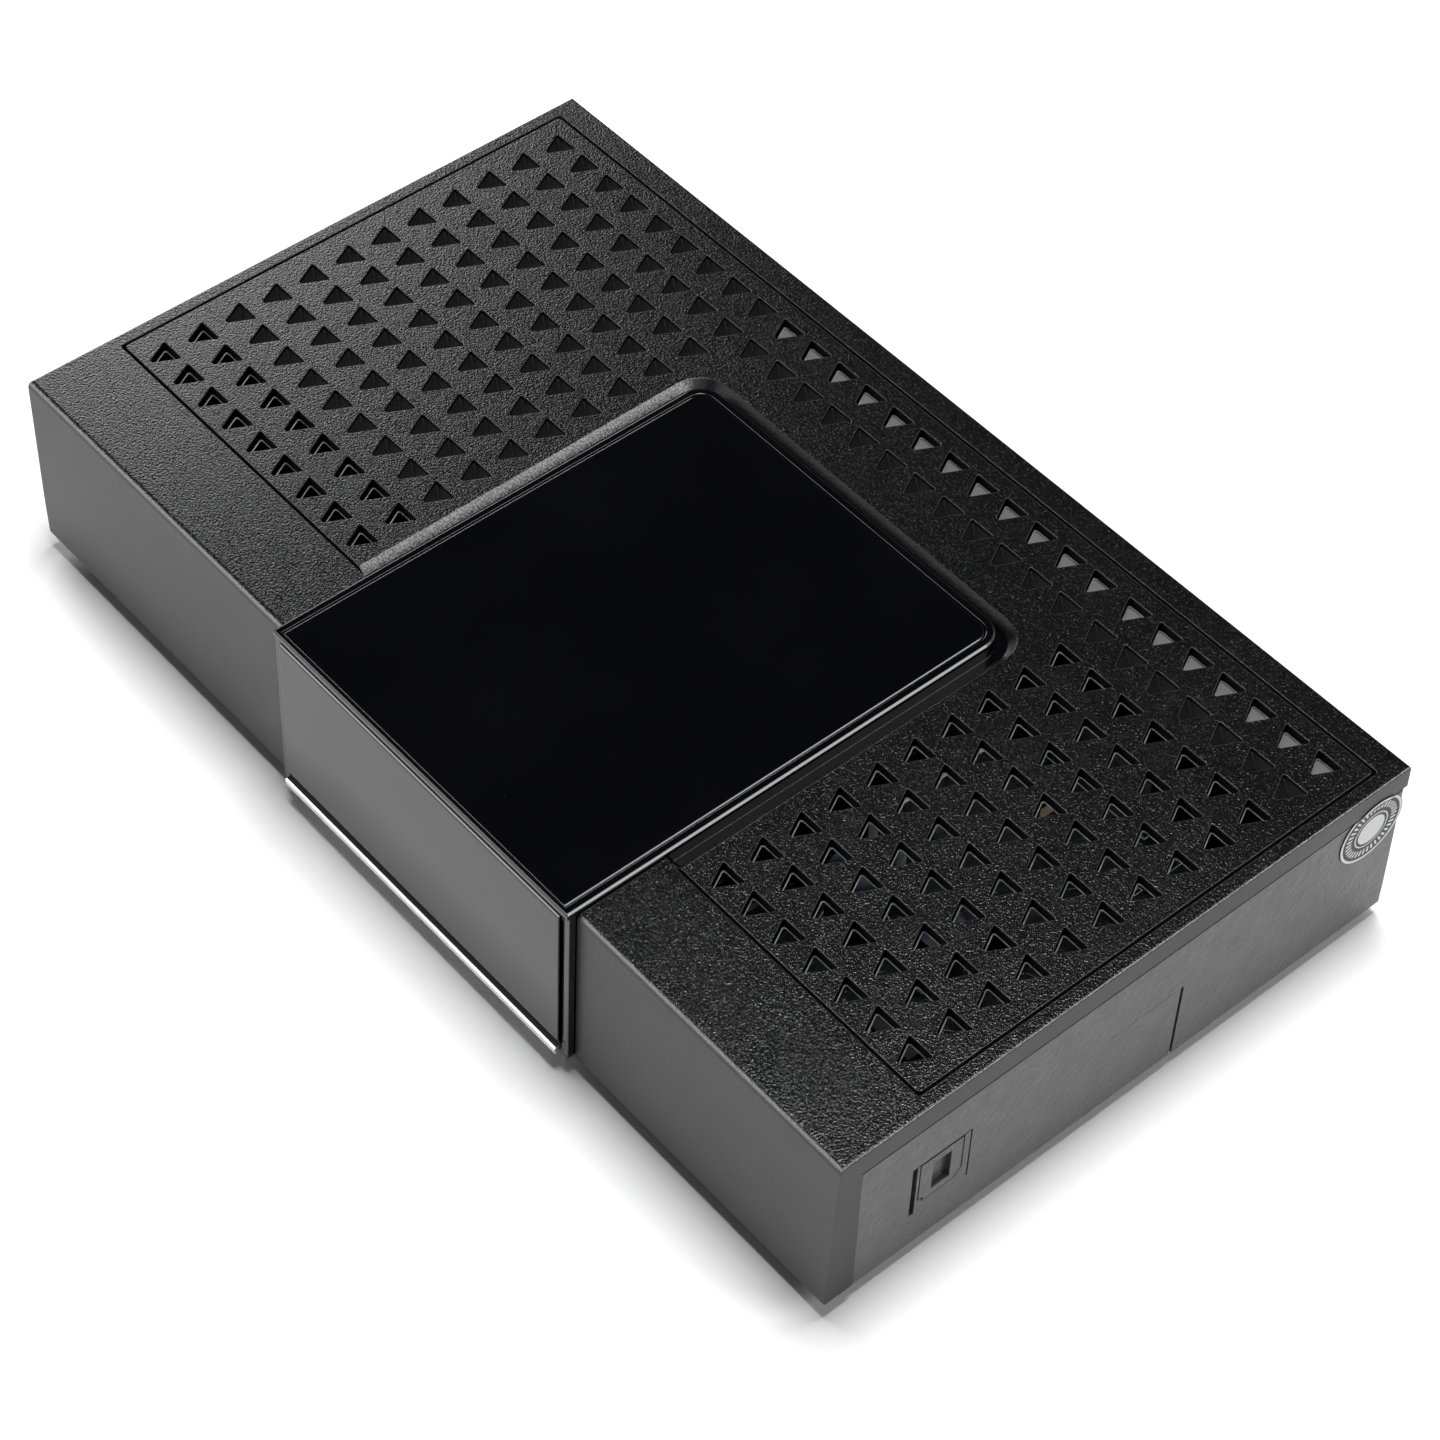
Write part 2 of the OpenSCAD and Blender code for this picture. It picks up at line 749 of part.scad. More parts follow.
module base_tray() {
    color("#303031") in_frame() difference() {
        union() {
            difference() {
                union() {
                    case_body(base_inset, foot_h, parting_z - seam / 2, edge_bevel, edge_bevel);
                    // Tongue that rises inside the skirt
                    block([-inner_half - tongue_t, flank_d + seam, floor_z],
                        [inner_half + tongue_t, rear_inner + tongue_t, parting_z + tongue_rise]);
                }
                block([-inner_half, -case_d, floor_z], [inner_half, rear_inner, top_z]);
                // Room for the cover's front wall and its flanks
                block([-case_w, -case_d, 0], [case_w, wall + seam, top_z]);
                block([-case_w, -case_d, floor_z], [case_w, flank_d + seam, top_z]);
                block([-case_w, -case_d, 0], [-inner_half, flank_d + seam, top_z]);
                block([inner_half, -case_d, 0], [case_w, flank_d + seam, top_z]);
            }
            // Posts that carry the main board, and bosses round the case screws
            for (s = [-1, 1], y = [post_y0, post_y1])
                translate([s * post_x / 2, y, floor_z]) cylinder(r = post_r, h = standoff_h);
            for (s = [-1, 1], y = [screw_y0, bar_y])
                translate([s * (case_w / 2 - screw_side), y, floor_z]) cylinder(r = post_r, h = boss_rise);
        }
        for (s = [-1, 1], y = [post_y0, post_y1])
            translate([s * post_x / 2, y, floor_z + over]) cylinder(r = pilot_r, h = standoff_h);
        for (s = [-1, 1], y = [screw_y0, bar_y])
            translate([s * (case_w / 2 - screw_side), y, foot_h - over]) {
                cylinder(r = screw_r + shank_clear, h = floor_t + boss_rise + 2 * over);
                cylinder(r = head_r + head_clear, h = head_h + over);
            }
        // Seats of the feet
        for (s = [-1, 1], y = [foot_y0, foot_y1])
            translate([s * (case_w / 2 - foot_side), y, foot_h - over]) cylinder(r = foot_r + bezel_play, h = foot_seat + over);
        // Slots in the floor
        for (i = [0:slot_count - 1], s = [-1, 1])
            translate([s * floor_slot_x + (i - (slot_count - 1) / 2) * floor_slot_pitch, floor_slot_y, foot_h - over])
                linear_extrude(floor_t + 2 * over)
                    polygon(round_rect(-floor_slot_w / 2, 0, floor_slot_w / 2, floor_slot_len, floor_slot_w * 0.45));
        // Connector field in the rear wall, and its holes
        block([-case_w / 2 + field_edge, connector_face, board_z - field_low],
            [case_w / 2 - field_edge, 2 * case_d, parting_z - field_head]);
        socket_holes(socket_clear, rf_room, rear_inner - over, 2 * case_d);
        rod_y(dc_x, rear_inner - over, 2 * case_d, dc_z, dc_neck_r + socket_clear);
        block([switch_x - rocker_w / 2 - rocker_wall, rear_inner - over, rocker_z - rocker_h / 2 - rocker_wall],
            [switch_x + rocker_w / 2 + rocker_wall, 2 * case_d, rocker_z + rocker_h / 2 + rocker_wall]);
        knockout_cuts();
        side_seam();
    }
}

// Outline of the closed plug in the right wall, drawn in by a width
function plug_points(inset) = [
    [plug_y + inset, plug_high - inset], [plug_y + inset, plug_low + plug_notch + inset],
    [plug_y + plug_notch + inset, plug_low + plug_notch + inset], [plug_y + plug_notch + inset, plug_low + inset],
    [plug_y + plug_w - plug_cut - inset / 2, plug_low + inset],
    [plug_y + plug_w - inset, plug_low + plug_cut + inset / 2], [plug_y + plug_w - inset, plug_high - inset]];

// The closed optical outlet in the right wall: a slot, a grooved square, the plug's outline and its pocket
module knockout_cuts() {
    face = case_w / 2 - base_inset - side_draft;
    low = top_z - knock_drop - knock_h;
    high = top_z - knock_drop;
    block([face - knock_depth, knock_y, low], [case_w, knock_y + knock_slot, high]);
    block([face - plug_groove, knock_y + knock_w - knock_line, low], [case_w, knock_y + knock_w, high]);
    block([face - plug_groove, knock_y, high - knock_line], [case_w, knock_y + knock_w, high]);
    difference() {
        along_x(face - plug_groove, case_w) polygon(plug_points(0));
        along_x(0, 2 * case_w) polygon(plug_points(plug_line));
    }
    block([face - knock_depth, plug_y + plug_w * 0.3, plug_low + plug_notch * 2],
        [case_w, plug_y + plug_w * 0.72, plug_high - plug_notch * 2]);
}

// Upright seam in the right wall, with a short scored line at its top
module side_seam() {
    face = case_w / 2 - base_inset;
    block([face - side_draft - seam_depth, seam_y, 0], [case_w, seam_y + seam_w, top_z - seam_drop]);
    block([face - side_draft - seam_line, seam_y - seam_run, top_z - seam_drop - seam_line],
        [case_w, seam_y + seam_w, top_z - seam_drop]);
}

// Outline in y and z of the bezel's two front columns, which stand on the base's floor
function column_points() = [
    [flap_face_y(top_z) + column_set, top_z], [flap_face_y(lip_low) + column_set, lip_low], [wall, lip_low], [wall, floor_z],
    [box_depth, floor_z], [box_depth, top_z]];

module panel_bezel() {
    strip_back = strip_front + strip_t;
    color("#0c0c0d") in_frame() translate([panel_x, 0, 0]) difference() {
        union() {
            // Rim, with a bevel along its top
            sloped_plate(bezel_half, strip_front, bezel_back, bezel_r, top_z - strip_low, panel_top - edge_bevel, 0);
            sloped_plate(bezel_half, strip_front, bezel_back, bezel_r, panel_top - edge_bevel, panel_top, edge_bevel);
            sloped_plate(bezel_half, hinge_y + barrel_r + barrel_room, bezel_back, bezel_r, deck_z, top_z, 0);
            // Flange under the grille
            translate([0, 0, deck_z])
                linear_extrude(ledge_t)
                    polygon(round_rect(-flange_half, flange_front, flange_half,
                        opening_back - opening_bevel + flange_reach, bezel_r));
            // Columns beside the flap
            for (s = [0, 1])
                mirror([s, 0, 0]) along_x(rim_half, bezel_half) polygon(column_points());
        }
        // Seat of the gloss plate
        sloped_plate(rim_half, strip_back, bezel_back - rim_w, bezel_r - rim_w, gloss_z, panel_top + over, 0);
        // Room for the flap's barrel under the front of the plate
        block([-rim_half, -case_d, deck_z - over], [rim_half, strip_back, top_z - strip_low]);
        block([-rim_half, strip_back, deck_z - over], [rim_half, hinge_y + barrel_r + barrel_room, gloss_z + over]);
        // Space behind the flap and hollow under the tray
        block([-rim_half, strip_back, 0], [rim_half, bezel_back - rim_w - bezel_r, gloss_z - tray_t]);
        // Seats of the hinge pins
        rod_x(-rim_half - pin_in_bezel, rim_half + pin_in_bezel, hinge_y, hinge_z, pin_r);
    }
}

module gloss_plate() {
    r = bezel_r - rim_w - gloss_gap;
    bevel = edge_bevel * 0.8;
    color("#050506") in_frame() translate([panel_x, 0, 0]) {
        sloped_plate(gloss_half, gloss_front, gloss_back, r, gloss_z, panel_top - bevel, 0);
        sloped_plate(gloss_half, gloss_front, gloss_back, r, panel_top - bevel, panel_top, bevel);
    }
}

// Flap: a leaning plate that hangs from a round barrel
module front_flap() {
    edge_z = flap_top - flap_edge_r;
    low_y = flap_face_y(flap_low);
    color("#08080a") in_frame() translate([panel_x, 0, 0]) difference() {
        union() {
            along_x(-flap_half, flap_half)
                polygon(concat(
                    [[low_y + tuck_d, flap_low], [low_y + flap_t, flap_low], [flap_face_y(hinge_z) + flap_t, hinge_z],
                        [hinge_y, flap_top - barrel_sink]],
                    arc(flap_face_y(edge_z) + flap_edge_r, edge_z, flap_edge_r, 90, 180),
                    [[flap_face_y(flap_low + tuck_h), flap_low + tuck_h]]));
            rod_x(-flap_half, flap_half, hinge_y, hinge_z, barrel_r);
        }
        for (s = [-1, 1])
            rod_x(s * (flap_half - pin_in_flap / 2) - pin_in_flap / 2 - pin_end_gap,
                s * (flap_half - pin_in_flap / 2) + pin_in_flap / 2 + pin_end_gap, hinge_y, hinge_z, pin_r + pin_clear);
    }
}

module flap_lip() {
    back = flap_face_y(flap_low) + flap_t;
    round_r = lip_h * 0.3;
    color("#d8d8d8") in_frame() translate([panel_x, 0, 0])
        along_x(-flap_half, flap_half)
            polygon(concat(arc(lip_front + round_r, flap_low - round_r, round_r, 90, 180),
                arc(lip_front + round_r, lip_low + round_r, round_r, 180, 270),
                [[back, lip_low], [back, flap_low]]));
}

module hinge_pins() {
    color("silver") in_frame() translate([panel_x, 0, 0])
        for (s = [0, 1])
            mirror([s, 0, 0])
                rod_x(flap_half - pin_in_flap, rim_half + pin_in_bezel, hinge_y, hinge_z, pin_r);
}

module key_hole(x, d) {
    rod_y(x, fascia_y - over, fascia_back + over, key_z, d / 2 + key_clear);
}

module front_fascia() {
    color("#1a1a1b") in_frame() difference() {
        block([panel_x - rim_half, fascia_y, floor_z], [panel_x + rim_half, fascia_back, fascia_high]);
        key_hole(standby_x, standby_d);
        key_hole(down_x, channel_d);
        key_hole(up_x, channel_d);
        block([display_x - display_w / 2, fascia_y - over, display_z - display_h / 2],
            [display_x + display_w / 2, fascia_back + over, display_z + display_h / 2]);
        block([usb_x - usb_w / 2 - key_clear, fascia_y - over, board_top - key_clear],
            [usb_x + usb_w / 2 + key_clear, fascia_back + over, board_top + usb_h + key_clear]);
        block([panel_x - slot_w / 2, fascia_y - over, slot_z - slot_mouth / 2],
            [panel_x + slot_w / 2, fascia_back + over, slot_z + slot_mouth / 2]);
        rod_y(ir_x, fascia_y - over, fascia_back + over, display_z, ir_r + key_clear);
        rod_y(led_x, fascia_y - over, fascia_back + over, display_z, led_r + key_clear);
    }
}

module display_window() {
    color([0.25, 0.05, 0.05, 0.7]) in_frame()
        block([display_x - display_w / 2, fascia_y, display_z - display_h / 2],
            [display_x + display_w / 2, fascia_back, display_z + display_h / 2]);
}

// A push button: cap, flange behind the fascia and stem
module button(x, d) {
    color("#3a3a3c") in_frame() {
        rod_y(x, fascia_y - key_proud, flange_y, key_z, d / 2);
        rod_y(x, flange_y, flange_y + flange_t, key_z, d / 2 + key_flange);
        rod_y(x, flange_y + flange_t, stem_back, key_z, stem_r);
    }
}

module standby_button() {
    button(standby_x, standby_d);
}

module channel_down_button() {
    button(down_x, channel_d);
}

module channel_up_button() {
    button(up_x, channel_d);
}

// The moving centre of a switch, which rests on the button's stem
module plunger(x) {
    color("#101010") in_frame() rod_y(x, stem_back, stem_back + plunger_len, key_z, plunger_r);
}

module standby_plunger() {
    plunger(standby_x);
}

module channel_down_plunger() {
    plunger(down_x);
}

module channel_up_plunger() {
    plunger(up_x);
}

module tact_switches() {
    color("#8a8a88") in_frame()
        for (x = [standby_x, down_x, up_x])
            difference() {
                block([x - switch_w / 2, switch_y, key_z - switch_w / 2], [x + switch_w / 2, front_board_y, key_z + switch_w / 2]);
                rod_y(x, switch_y - over, stem_back + plunger_len + key_travel + plunger_clear, key_z, plunger_r + plunger_clear);
            }
}

module front_board() {
    color("#1d3a2a") in_frame() {
        block([panel_x - front_board_half, front_board_y, board_top], [usb_x - usb_w / 2 - board_gap, front_board_y + board_t, fascia_high - board_gap]);
        block([panel_x - front_board_half, front_board_y, board_top + usb_h + board_gap],
            [panel_x + front_board_half, front_board_y + board_t, fascia_high - board_gap]);
    }
}

module display_module() {
    color("#d0d0c8") in_frame()
        block([display_x - display_w / 2 - board_gap, display_y, display_z - display_h / 2 - board_gap],
            [display_x + display_w / 2 + board_gap, front_board_y, display_z + display_h / 2 + board_gap]);
}

module ir_receiver() {
    color("#181014") in_frame() {
        rod_y(ir_x, fascia_y + board_gap, fascia_back + ir_neck, display_z, ir_r);
        block([ir_x - ir_r, fascia_back + ir_neck, display_z - ir_r], [ir_x + ir_r, front_board_y, display_z + ir_r]);
    }
}

module status_led() {
    color("#902020") in_frame() {
        rod_y(led_x, fascia_y + board_gap, fascia_back + board_gap, display_z, led_r);
        rod_y(led_x, fascia_back + board_gap, front_board_y, display_z, led_r + led_collar);
    }
}

// Shell of the front data socket with its tongue
module usb_socket() {
    y0 = fascia_y + usb_set;
    z1 = board_top + usb_h;
    color("silver") in_frame() {
        difference() {
            block([usb_x - usb_w / 2, y0, board_top], [usb_x + usb_w / 2, y0 + usb_d, z1]);
            block([usb_x - usb_w / 2 + metal_t, y0 - over, z1 - metal_t - usb_open_h],
                [usb_x + usb_w / 2 - metal_t, y0 + usb_d - socket_floor, z1 - metal_t]);
        }
        block([usb_x - tongue_w / 2, y0 + usb_set, z1 - metal_t - tongue_h - metal_t],
            [usb_x + tongue_w / 2, y0 + usb_d - socket_floor, z1 - metal_t - metal_t]);
    }
}

module card_reader() {
    y0 = fascia_back;
    color("#222224") in_frame() difference() {
        block([panel_x - card_w / 2, y0, board_z - card_h], [panel_x + card_w / 2, y0 + card_d, board_z]);
        block([panel_x - slot_w / 2, y0 - over, slot_z - slot_h / 2], [panel_x + slot_w / 2, y0 + slot_d, slot_z + slot_h / 2]);
        // Window under the contacts
        block([panel_x - contact_field / 2, y0 + contact_y, slot_z], [panel_x + contact_field / 2, y0 + contact_y + contact_field, board_z + over]);
    }
}

module card_contacts() {
    y0 = fascia_back + contact_y;
    step = contact_field / contact_rows;
    color("gold") in_frame()
        for (i = [0:contact_rows - 1], s = [-1, 1])
            block([panel_x + s * step * 0.9 - step * 0.5, y0 + step * (i + 0.3), slot_z + slot_h / 2],
                [panel_x + s * step * 0.9 + step * 0.5, y0 + step * (i + 0.7), board_z]);
}

module main_board() {
    color("#17301f") in_frame() difference() {
        block([-board_w / 2, board_front, board_z], [board_w / 2, rear_inner - shield_t, board_top]);
        for (s = [-1, 1], y = [post_y0, post_y1])
            translate([s * post_x / 2, y, board_z - over]) cylinder(r = screw_r + shank_clear, h = board_t + 2 * over);
    }
}

module processor_chip() {
    color("#141414") in_frame()
        block([cpu_x - cpu_w / 2, cpu_y - cpu_w / 2, board_top], [cpu_x + cpu_w / 2, cpu_y + cpu_w / 2, board_top + chip_t]);
}

module heat_sink() {
    z0 = board_top + chip_t;
    z1 = min(z0 + sink_h, deck_z - part_room);
    color("#9a9c9e") in_frame() {
        block([cpu_x - sink_w / 2, cpu_y - sink_w / 2, z0], [cpu_x + sink_w / 2, cpu_y + sink_w / 2, z0 + sink_base]);
        for (i = [0:fin_count - 1])
            block([cpu_x - sink_w / 2 + i * (sink_w - fin_t) / (fin_count - 1), cpu_y - sink_w / 2, z0 + sink_base],
                [cpu_x - sink_w / 2 + i * (sink_w - fin_t) / (fin_count - 1) + fin_t, cpu_y + sink_w / 2, z1]);
    }
}

module memory_chips() {
    color("#161616") in_frame()
        for (i = [0, 1])
            block([ram_x, ram_y + i * ram_pitch, board_top], [ram_x + ram_w, ram_y + i * ram_pitch + ram_d, board_top + chip_t]);
}

module flash_chip() {
    color("#181818") in_frame()
        block([flash_x, flash_y, board_top], [flash_x + flash_w, flash_y + flash_d, board_top + chip_t]);
}

module crystal_can() {
    color("silver") in_frame() translate([crystal_x, crystal_y, board_top])
        linear_extrude(crystal_h)
            polygon(round_rect(-crystal_w / 2, -crystal_d / 2, crystal_w / 2, crystal_d / 2, crystal_d * 0.45));
}

// A spot on the main board, given as shares of its half width and its depth
function board_spot(spot_share) = [
    spot_share[0] * board_w / 2, board_front + spot_share[1] * (rear_inner - shield_t - board_front), board_top];

// Electrolytic cans, each with a pressed ring near its foot
module capacitors() {
    color("#2c3038") in_frame()
        for (i = [0:len(can_spot_shares) - 1])
            translate(board_spot(can_spot_shares[i])) {
                r = can_r * can_size_shares[i][0];
                h = min(can_h * can_size_shares[i][1], deck_z - part_room - board_top);
                cylinder(r = r, h = can_ring);
                translate([0, 0, can_ring]) cylinder(r = r - can_pinch, h = can_pinch * 2);
                translate([0, 0, can_ring + can_pinch * 2]) cylinder(r = r, h = h - can_ring - can_pinch * 2);
            }
}

// Moulded power coils with rounded corners
module power_coils() {
    color("#4a4a4a") in_frame()
        for (i = [0:len(coil_spot_shares) - 1])
            translate(board_spot(coil_spot_shares[i]))
                linear_extrude(coil_h) {
                    w = coil_w * coil_size_shares[i];
                    polygon(round_rect(-w / 2, -w / 2, w / 2, w / 2, w * 0.15));
                }
}

// Flat cable sockets on the back of the front board and on the main board
module ribbon_connectors() {
    color("#e8e4d8") in_frame() {
        block([ribbon_x - plug_half, front_board_y + board_t, ribbon_z - plug_t / 2],
            [ribbon_x + plug_half, front_board_y + board_t + plug_len, ribbon_z + plug_t / 2]);
        block([ribbon_x - plug_half, ribbon_end - plug_t / 2, board_top],
            [ribbon_x + plug_half, ribbon_end + plug_t / 2, board_top + plug_len]);
    }
}

// Flat cable: level out of the front board, then a quarter turn down into the main board
module ribbon_cable() {
    y0 = front_board_y + board_t + plug_len;
    r = min(ribbon_end - y0, ribbon_z - board_top - plug_len) * 0.8;
    color("#d8d8dc") in_frame()
        along_x(ribbon_x - plug_half * 0.8, ribbon_x + plug_half * 0.8)
            polygon(concat(
                [[y0, ribbon_z - ribbon_t]], arc(ribbon_end - r - ribbon_t / 2, ribbon_z - r - ribbon_t, r, 90, 0),
                [[ribbon_end - ribbon_t / 2, board_top + plug_len], [ribbon_end + ribbon_t / 2, board_top + plug_len]],
                arc(ribbon_end - r - ribbon_t / 2, ribbon_z - r - ribbon_t, r + ribbon_t, 0, 90), [[y0, ribbon_z]]));
}

module tuner_can() {
    y1 = rear_inner - shield_t;
    color("#c4c6c8") in_frame() {
        block([tuner_x - tuner_w / 2, y1 - tuner_d, board_top], [tuner_x + tuner_w / 2, y1, tuner_high]);
    }
}

// Aerial input: outer barrel, insulator and the centre receptacle
module rf_input_socket() {
    x = tuner_x - rf_pitch / 2;
    y0 = rear_inner - shield_t;
    color("#d8d4c0") in_frame() {
        difference() {
            rod_y(x, y0, rear_reach, rf_z, rf_in_r + rf_wall);
            rod_y(x, connector_face, rear_reach + over, rf_z, rf_in_r);
        }
        difference() {
            rod_y(x, connector_face, rear_reach - rf_set, rf_z, rf_core_r);
            rod_y(x, connector_face + rf_set, rear_reach + over, rf_z, rf_pin_r + pin_clear);
        }
    }
}

// Aerial output: a collar in the shield, the outer barrel and a centre pin
module rf_output_plug() {
    x = tuner_x + rf_pitch / 2;
    y0 = rear_inner - shield_t;
    color("#d8d4c0") in_frame() {
        difference() {
            union() {
                rod_y(x, y0, rear_inner, rf_z, rf_out_r + rf_collar);
                rod_y(x, y0, rear_reach, rf_z, rf_out_r);
            }
            rod_y(x, connector_face, rear_reach + over, rf_z, rf_out_r - rf_wall);
        }
        rod_y(x, connector_face, rear_reach - rf_set, rf_z, rf_pin_r);
    }
}

module lan_socket() {
    y1 = connector_face;
    z0 = board_top + lan_sill;
    color("#b8babc") in_frame() difference() {
        block([lan_x - lan_w / 2, y1 - lan_d, board_top], [lan_x + lan_w / 2, y1, board_top + lan_h]);
        block([lan_x - lan_open_w / 2, y1 - lan_d + socket_floor, z0], [lan_x + lan_open_w / 2, y1 + over, z0 + lan_open_h]);
        // Notch for the latch of the plug
        block([lan_x - lan_notch_w / 2, y1 - lan_d / 2, z0 - lan_notch_h], [lan_x + lan_notch_w / 2, y1 + over, z0 + lan_open_h]);
    }
}

// Digital video socket: a shell with chamfered lower corners and a tongue
module hdmi_socket() {
    y1 = connector_face;
    zc = board_top + hdmi_h / 2;
    w = hdmi_w / 2 - metal_t;
    h = hdmi_mouth / 2;
    color("silver") in_frame() {
        difference() {
            block([hdmi_x - hdmi_w / 2, y1 - hdmi_d, board_top], [hdmi_x + hdmi_w / 2, y1, board_top + hdmi_h]);
            translate([hdmi_x, 0, zc])
                along_y(y1 - hdmi_d + socket_floor, y1 + over)
                    polygon([[-w, h], [w, h], [w, -h / 2], [w - h / 2, -h], [h / 2 - w, -h], [-w, -h / 2]]);
        }
        block([hdmi_x - tongue_w / 2, y1 - hdmi_d + socket_floor - metal_t, zc], [hdmi_x + tongue_w / 2, y1 - rf_set, zc + tongue_h]);
    }
}

module optical_socket() {
    y1 = connector_face;
    z0 = board_top + (optical_h - optical_open) / 2;
    color("#1a1a1a") in_frame() difference() {
        block([optical_x - optical_w / 2, y1 - optical_d, board_top], [optical_x + optical_w / 2, y1, board_top + optical_h]);
        block([optical_x - optical_open / 2, y1 - optical_d + socket_floor, z0], [optical_x + optical_open / 2, y1 + over, z0 + optical_open]);
        // Bearings of the shutter
        rod_x(optical_x - optical_open / 2 - axle_len - pin_end_gap, optical_x + optical_open / 2 + axle_len + pin_end_gap,
            shutter_y, shutter_z, axle_r + pin_clear);
    }
}

// Sprung shutter of the optical socket, hung from a thin axle at its top
module optical_shutter() {
    half = optical_open / 2 - shutter_gap;
    low = board_top + (optical_h - optical_open) / 2 + shutter_gap;
    color("#2a2a2a") in_frame() {
        block([optical_x - half, shutter_y - shutter_t / 2, low], [optical_x + half, shutter_y + shutter_t / 2, shutter_z]);
        rod_x(optical_x - half, optical_x + half, shutter_y, shutter_z, shutter_t * 0.8);
        rod_x(optical_x - half - shutter_gap - axle_len, optical_x + half + shutter_gap + axle_len, shutter_y, shutter_z, axle_r);
    }
}

// Power inlet: body on the board, round neck through the rear wall, bore and centre pin
module dc_jack() {
    y1 = connector_face;
    y0 = rear_inner - dc_set;
    color("#151515") in_frame() {
        difference() {
            union() {
                block([dc_x - dc_w / 2, y0 - dc_d, board_top], [dc_x + dc_w / 2, y0, board_top + dc_h]);
                rod_y(dc_x, y0 - over, y1, dc_z, dc_neck_r);
            }
            rod_y(dc_x, y0 - dc_d + socket_floor, y1 + over, dc_z, dc_bore_r);
        }
        rod_y(dc_x, y0 - dc_d + usb_set, y1 - rf_set, dc_z, dc_pin_r);
    }
}

// Rocker switch: a box pushed in from behind the rear wall, with a flange on the outside
module power_switch_housing() {
    y1 = connector_face;
    z0 = rocker_z - rocker_h / 2;
    z1 = rocker_z + rocker_h / 2;
    color("#1c1c1c") in_frame() difference() {
        union() {
            block([switch_x - rocker_w / 2 - rocker_wall, y1 - housing_d, z0 - rocker_wall],
                [switch_x + rocker_w / 2 + rocker_wall, y1, z1 + rocker_wall]);
            block([switch_x - rocker_w / 2 - rocker_wall - housing_lip, y1, z0 - rocker_wall - housing_lip],
                [switch_x + rocker_w / 2 + rocker_wall + housing_lip, y1 + housing_rim, z1 + rocker_wall + housing_lip]);
        }
        block([switch_x - rocker_w / 2, y1 - housing_d + socket_floor, z0], [switch_x + rocker_w / 2, y1 + 2 * housing_rim, z1]);
        translate([switch_x, rocker_y, z0 - axle_len - pin_end_gap]) cylinder(r = rocker_axle_r + pin_clear, h = rocker_h + 2 * axle_len + 2 * pin_end_gap);
    }
}

// Rocker, shown tipped to its off side, with a stub axle at top and bottom
module power_rocker() {
    half = rocker_w / 2 - rocker_end;
    low = rocker_z - rocker_h / 2 + rocker_gap;
    height = rocker_h - 2 * rocker_gap;
    color("#101010") in_frame() translate([switch_x, rocker_y, 0]) rotate([0, 0, -rocker_tilt]) {
        translate([0, 0, low])
            linear_extrude(height)
                polygon([[-half, rocker_nose], [0, rocker_dip], [half, rocker_nose], [half * 0.6, -rocker_nose], [-half * 0.6, -rocker_nose]]);
        translate([0, 0, low - rocker_gap - axle_len]) cylinder(r = rocker_axle_r, h = rocker_h + 2 * axle_len);
    }
}

module rear_shield() {
    color("#d4d6d8") in_frame() difference() {
        block([shield_x0, rear_inner - shield_t, board_z - shield_drop], [shield_x1, rear_inner, deck_z - shield_room]);
        socket_holes(socket_clear / 2, rf_collar + socket_clear / 2, rear_inner - wall, rear_inner + wall);
    }
}

module board_screws() {
    color("#b0b4b8") in_frame()
        for (s = [-1, 1], y = [post_y0, post_y1])
            translate([s * post_x / 2, y, board_top]) {
                cylinder(r = head_r, h = head_h * 1.4);
                translate([0, 0, -screw_bite - board_t]) cylinder(r = pilot_r, h = screw_bite + board_t);
            }
}

module case_screws() {
    color("#303236") in_frame()
        for (s = [-1, 1], y = [screw_y0, bar_y])
            translate([s * (case_w / 2 - screw_side), y, foot_h]) {
                cylinder(r = head_r, h = head_h);
                cylinder(r = pilot_r, h = floor_t + boss_rise + pilot_depth * 0.75);
            }
}

module rubber_feet() {
    color("#1b1b1b") in_frame()
        for (s = [-1, 1], y = [foot_y0, foot_y1])
            translate([s * (case_w / 2 - foot_side), y, 0]) {
                cylinder(r1 = foot_r - foot_taper, r2 = foot_r, h = foot_taper);
                translate([0, 0, foot_taper]) cylinder(r = foot_r, h = foot_h + foot_seat - foot_taper);
            }
}

// Round sealing sticker: it lies on the base's wall and steps out over the skirt
module seal_sticker() {
    low = seal_z - seal_r - over;
    high = seal_z + seal_r + over;
    knee = parting_z - seal_step;
    color("#3a3b3d") in_frame() intersection() {
        rod_x(0, case_w, seal_y, seal_z, seal_r);
        along_y(0, 2 * case_d)
            polygon([
                [side_x(low) - base_inset, low], [side_x(low) - base_inset + seal_t, low],
                [side_x(knee) - base_inset + seal_t, knee], [side_x(parting_z) + seal_t, parting_z],
                [side_x(high) + seal_t, high], [side_x(high), high],
                [side_x(parting_z), parting_z], [side_x(knee) - base_inset, knee]]);
    }
}

module rating_label() {
    color("#c8cacc") in_frame()
        block([-label_w / 2, label_y, foot_h - label_t], [label_w / 2, label_y + label_d, foot_h]);
}

